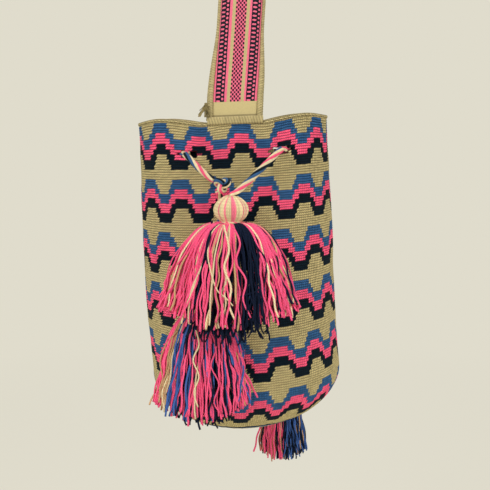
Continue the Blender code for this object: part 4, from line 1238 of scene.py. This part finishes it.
# Single strands that lie over the others in front, each with its yarn and its route.
LOOSE_STRANDS = {
    "front_upper_tassel": (
        (TASSEL_NAVY, (
            (-0.0305, -0.1062, -0.5719), (-0.0318, -0.1205, -0.5838), (-0.0344, -0.1253, -0.5958),
            (-0.0342, -0.1298, -0.6079),
        )),
        (TASSEL_NAVY, (
            (0.0009, -0.1062, -0.5728), (0.0109, -0.1237, -0.5933), (0.0181, -0.1259, -0.6031),
            (0.0189, -0.1305, -0.6160), (0.0153, -0.1351, -0.6279), (0.0063, -0.1378, -0.6328),
            (-0.0054, -0.1395, -0.6361),
        )),
        (CREAM, (
            (-0.0286, -0.1062, -0.5728), (-0.0335, -0.1251, -0.5949), (-0.0315, -0.1312, -0.6113),
            (-0.0251, -0.1376, -0.6301), (-0.0170, -0.1399, -0.6369), (-0.0107, -0.1419, -0.6438),
        )),
        (CREAM, (
            (-0.0193, -0.1153, -0.5744), (-0.0144, -0.1267, -0.5956), (-0.0189, -0.1319, -0.6111),
            (-0.0125, -0.1371, -0.6275), (-0.0143, -0.1417, -0.6429), (-0.0080, -0.1458, -0.6575),
        )),
        (HOT_PINK, (
            (-0.0119, -0.1146, -0.5739), (-0.0045, -0.1242, -0.5896), (-0.0081, -0.1302, -0.6060),
            (0.0009, -0.1348, -0.6216), (-0.0018, -0.1401, -0.6387), (0.0054, -0.1442, -0.6542),
        )),
    ),
    "front_lower_tassel": (
        (CREAM, (
            (-0.0455, -0.1184, -0.6723), (-0.0427, -0.1207, -0.6860), (-0.0483, -0.1224, -0.6999),
            (-0.0427, -0.1245, -0.7147), (-0.0474, -0.1261, -0.7296), (-0.0438, -0.1278, -0.7436),
        )),
        (TAN, (
            (-0.0625, -0.1148, -0.6733), (-0.0741, -0.1129, -0.6883), (-0.0798, -0.1147, -0.7043),
            (-0.0769, -0.1186, -0.7206), (-0.0819, -0.1185, -0.7383),
        )),
        (HOT_PINK, (
            (-0.0325, -0.1183, -0.6723), (-0.0269, -0.1205, -0.6890), (-0.0316, -0.1231, -0.7055),
            (-0.0242, -0.1245, -0.7224), (-0.0289, -0.1269, -0.7391), (-0.0233, -0.1276, -0.7496),
        )),
    ),
}


def strand_dye(kind, aside, deep, draw):
    """The yarn of one strand, from where in the skirt it hangs."""
    if deep and kind != "rear_lower_tassel":
        return TASSEL_NAVY if draw.random() < DEEP_NAVY_PART else HOT_PINK
    pick = draw.random()
    zone = next(zone for limit, *zone in SKIRT_ZONES[kind] if aside < limit)
    for dye, part in zone:
        pick -= part
        if pick < 0:
            return dye
    return zone[0][0]


def head_dye(angle):
    """The yarn of one strand of the head: cream, with thin pink lines and one broad pink one."""
    side = (math.degrees(angle) + 180) % 360 - 180
    on_broad_line = HEAD_BROAD_LINE[0] < side < HEAD_BROAD_LINE[1]
    if on_broad_line or min(abs(side - line) for line in HEAD_LINES) < HEAD_LINE_HALF:
        return HEAD_PINK
    return HEAD_CREAM


def strand_paths(kind, top, foot, half_width, count, seed):
    """The middle line and the yarn of each strand, from the head's crown to its cut end."""
    draw = random.Random(seed)
    top, foot = np.array(top), np.array(foot)
    neck = top - np.array((0, 0, HEAD_HEIGHT))
    waist = NECK_RADIUS * 0.9
    paths = []
    dyes = []
    for number in range(count):
        headed = number < HEAD_STRANDS
        if headed:
            angle = 2 * math.pi * (number + 0.5 * (number % 2)) / HEAD_STRANDS
        else:
            angle = 2 * math.pi * ((number * GOLDEN_TURN) % 1.0)
        layer = 0.97 * (1.0 if number % 2 else INNER_LAYER)
        deep = not headed and draw.random() < DEEP_PART
        reach = HEAD_REACH if headed else draw.uniform(*(DEEP_REACH if deep else OUTER_REACH))
        side, front = math.sin(angle), -math.cos(angle)
        aside = side * reach
        skirt_dye = strand_dye(kind, aside + draw.gauss(0, 0.04), deep, draw)
        dye = head_dye(angle) if headed else skirt_dye
        wave = draw.uniform(0, 2 * math.pi)
        pace = draw.uniform(4.0, 9.0)
        sway = abs(draw.gauss(*SWAY_SIZES))
        kink_wave = draw.uniform(0, 2 * math.pi)
        kink_pace = draw.uniform(14.0, 24.0)
        kink = abs(draw.gauss(*KINK_SIZES))
        trim = draw.gauss(0.0, RAGGED_ENDS) + END_RISE * half_width * aside**2
        curl = 0.0
        if deep and skirt_dye is TASSEL_NAVY and abs(aside) < 0.55:
            trim -= draw.uniform(-0.003, 0.006)
            curl = draw.uniform(0.001, 0.003)
        else:
            trim += CUT_SHORTER.get(kind, 0.0)
        wander = draw.gauss(0, WANDER)
        loose = LOOSE_REACH if draw.random() < LOOSE_PART else 0.0
        spots = []
        if headed:
            for share in np.linspace(0.02, 0.97, 10):
                round_out = math.sin(math.pi * (share * 0.82 + 0.02)) ** HEAD_ROUNDNESS
                x = max(NECK_RADIUS * share, HEAD_HALF_WIDTH * round_out) * side * layer
                y = max(NECK_RADIUS * share, HEAD_HALF_DEPTH * round_out) * front * layer
                spots.append(top + np.array((x, y, -share * (HEAD_HEIGHT - TIE_HEIGHT / 2))))
        for step in np.linspace(0.0, 1.0, 34):
            share = step**1.5
            fan = share**SKIRT_FAN
            middle = neck + (foot - neck) * share
            middle[1] += (foot[1] - neck[1]) * (fan - share) * SKIRT_BOW
            wide = waist + (half_width - waist) * fan
            thick = waist + (SKIRT_HALF_DEPTH - waist) * fan
            free = min(1.0, 3 * share)
            drift = sway * math.sin(wave + pace * share) * free
            jog = kink * math.sin(kink_wave + kink_pace * share) * free
            jog += curl * math.sin(kink_wave + 30 * share) * share**6
            x = wide * (aside + wander * share) + drift + jog + loose * math.sin(wave) * share
            y = thick * front * reach + drift * 0.6 - jog * 0.5 - loose * 0.4 * share
            spots.append(middle + np.array((x, y, trim * share**2)))
        paths.append(smooth_route(spots, STRAND_ROW))
        dyes.append((dye, skirt_dye, headed))
    for dye, spots in LOOSE_STRANDS.get(kind, ()):
        paths.append(smooth_route(spots, STRAND_ROW))
        dyes.append((dye, dye, False))
    return paths, dyes


for name, (body, top, foot, half_width, count, seed) in TASSELS.items():
    paths, dyes = strand_paths(name, top, foot, half_width, count, seed)
    bm = strand_bundle(paths, dyes, STRAND_RADIUS, STRAND_SIDES, seed, top[2] - HEAD_HEIGHT)
    finish_piece(bm, f"{name}_strands", tassel_yarn, body, "tassel_yarn", name)

# The tassels' bindings: cream yarn wound tightly round each neck, just under the head.
tie_yarn = yarn_material("binding_cotton", 2, 0.0035, 0.30)
WINDINGS = 3
for name, (body, top, _, _, _, seed) in TASSELS.items():
    turn = np.linspace(0, 2 * math.pi * WINDINGS, 40 * WINDINGS + 1)
    reach = NECK_RADIUS + SEAT_GAP + TIE_THICKNESS / 2
    level = top[2] - HEAD_HEIGHT + TIE_HEIGHT * (0.5 - turn / turn[-1]) * 0.72
    path = np.stack([top[0] + reach * np.cos(turn), top[1] + reach * np.sin(turn), level], axis=1)
    bm = twisted_cord(path, TIE_THICKNESS / 2, (CREAM, CREAM, PINK), 0.008, seed)
    finish_piece(bm, f"{name}_tie_yarn", tie_yarn, body, "tassel_binding", f"{name}_tie")
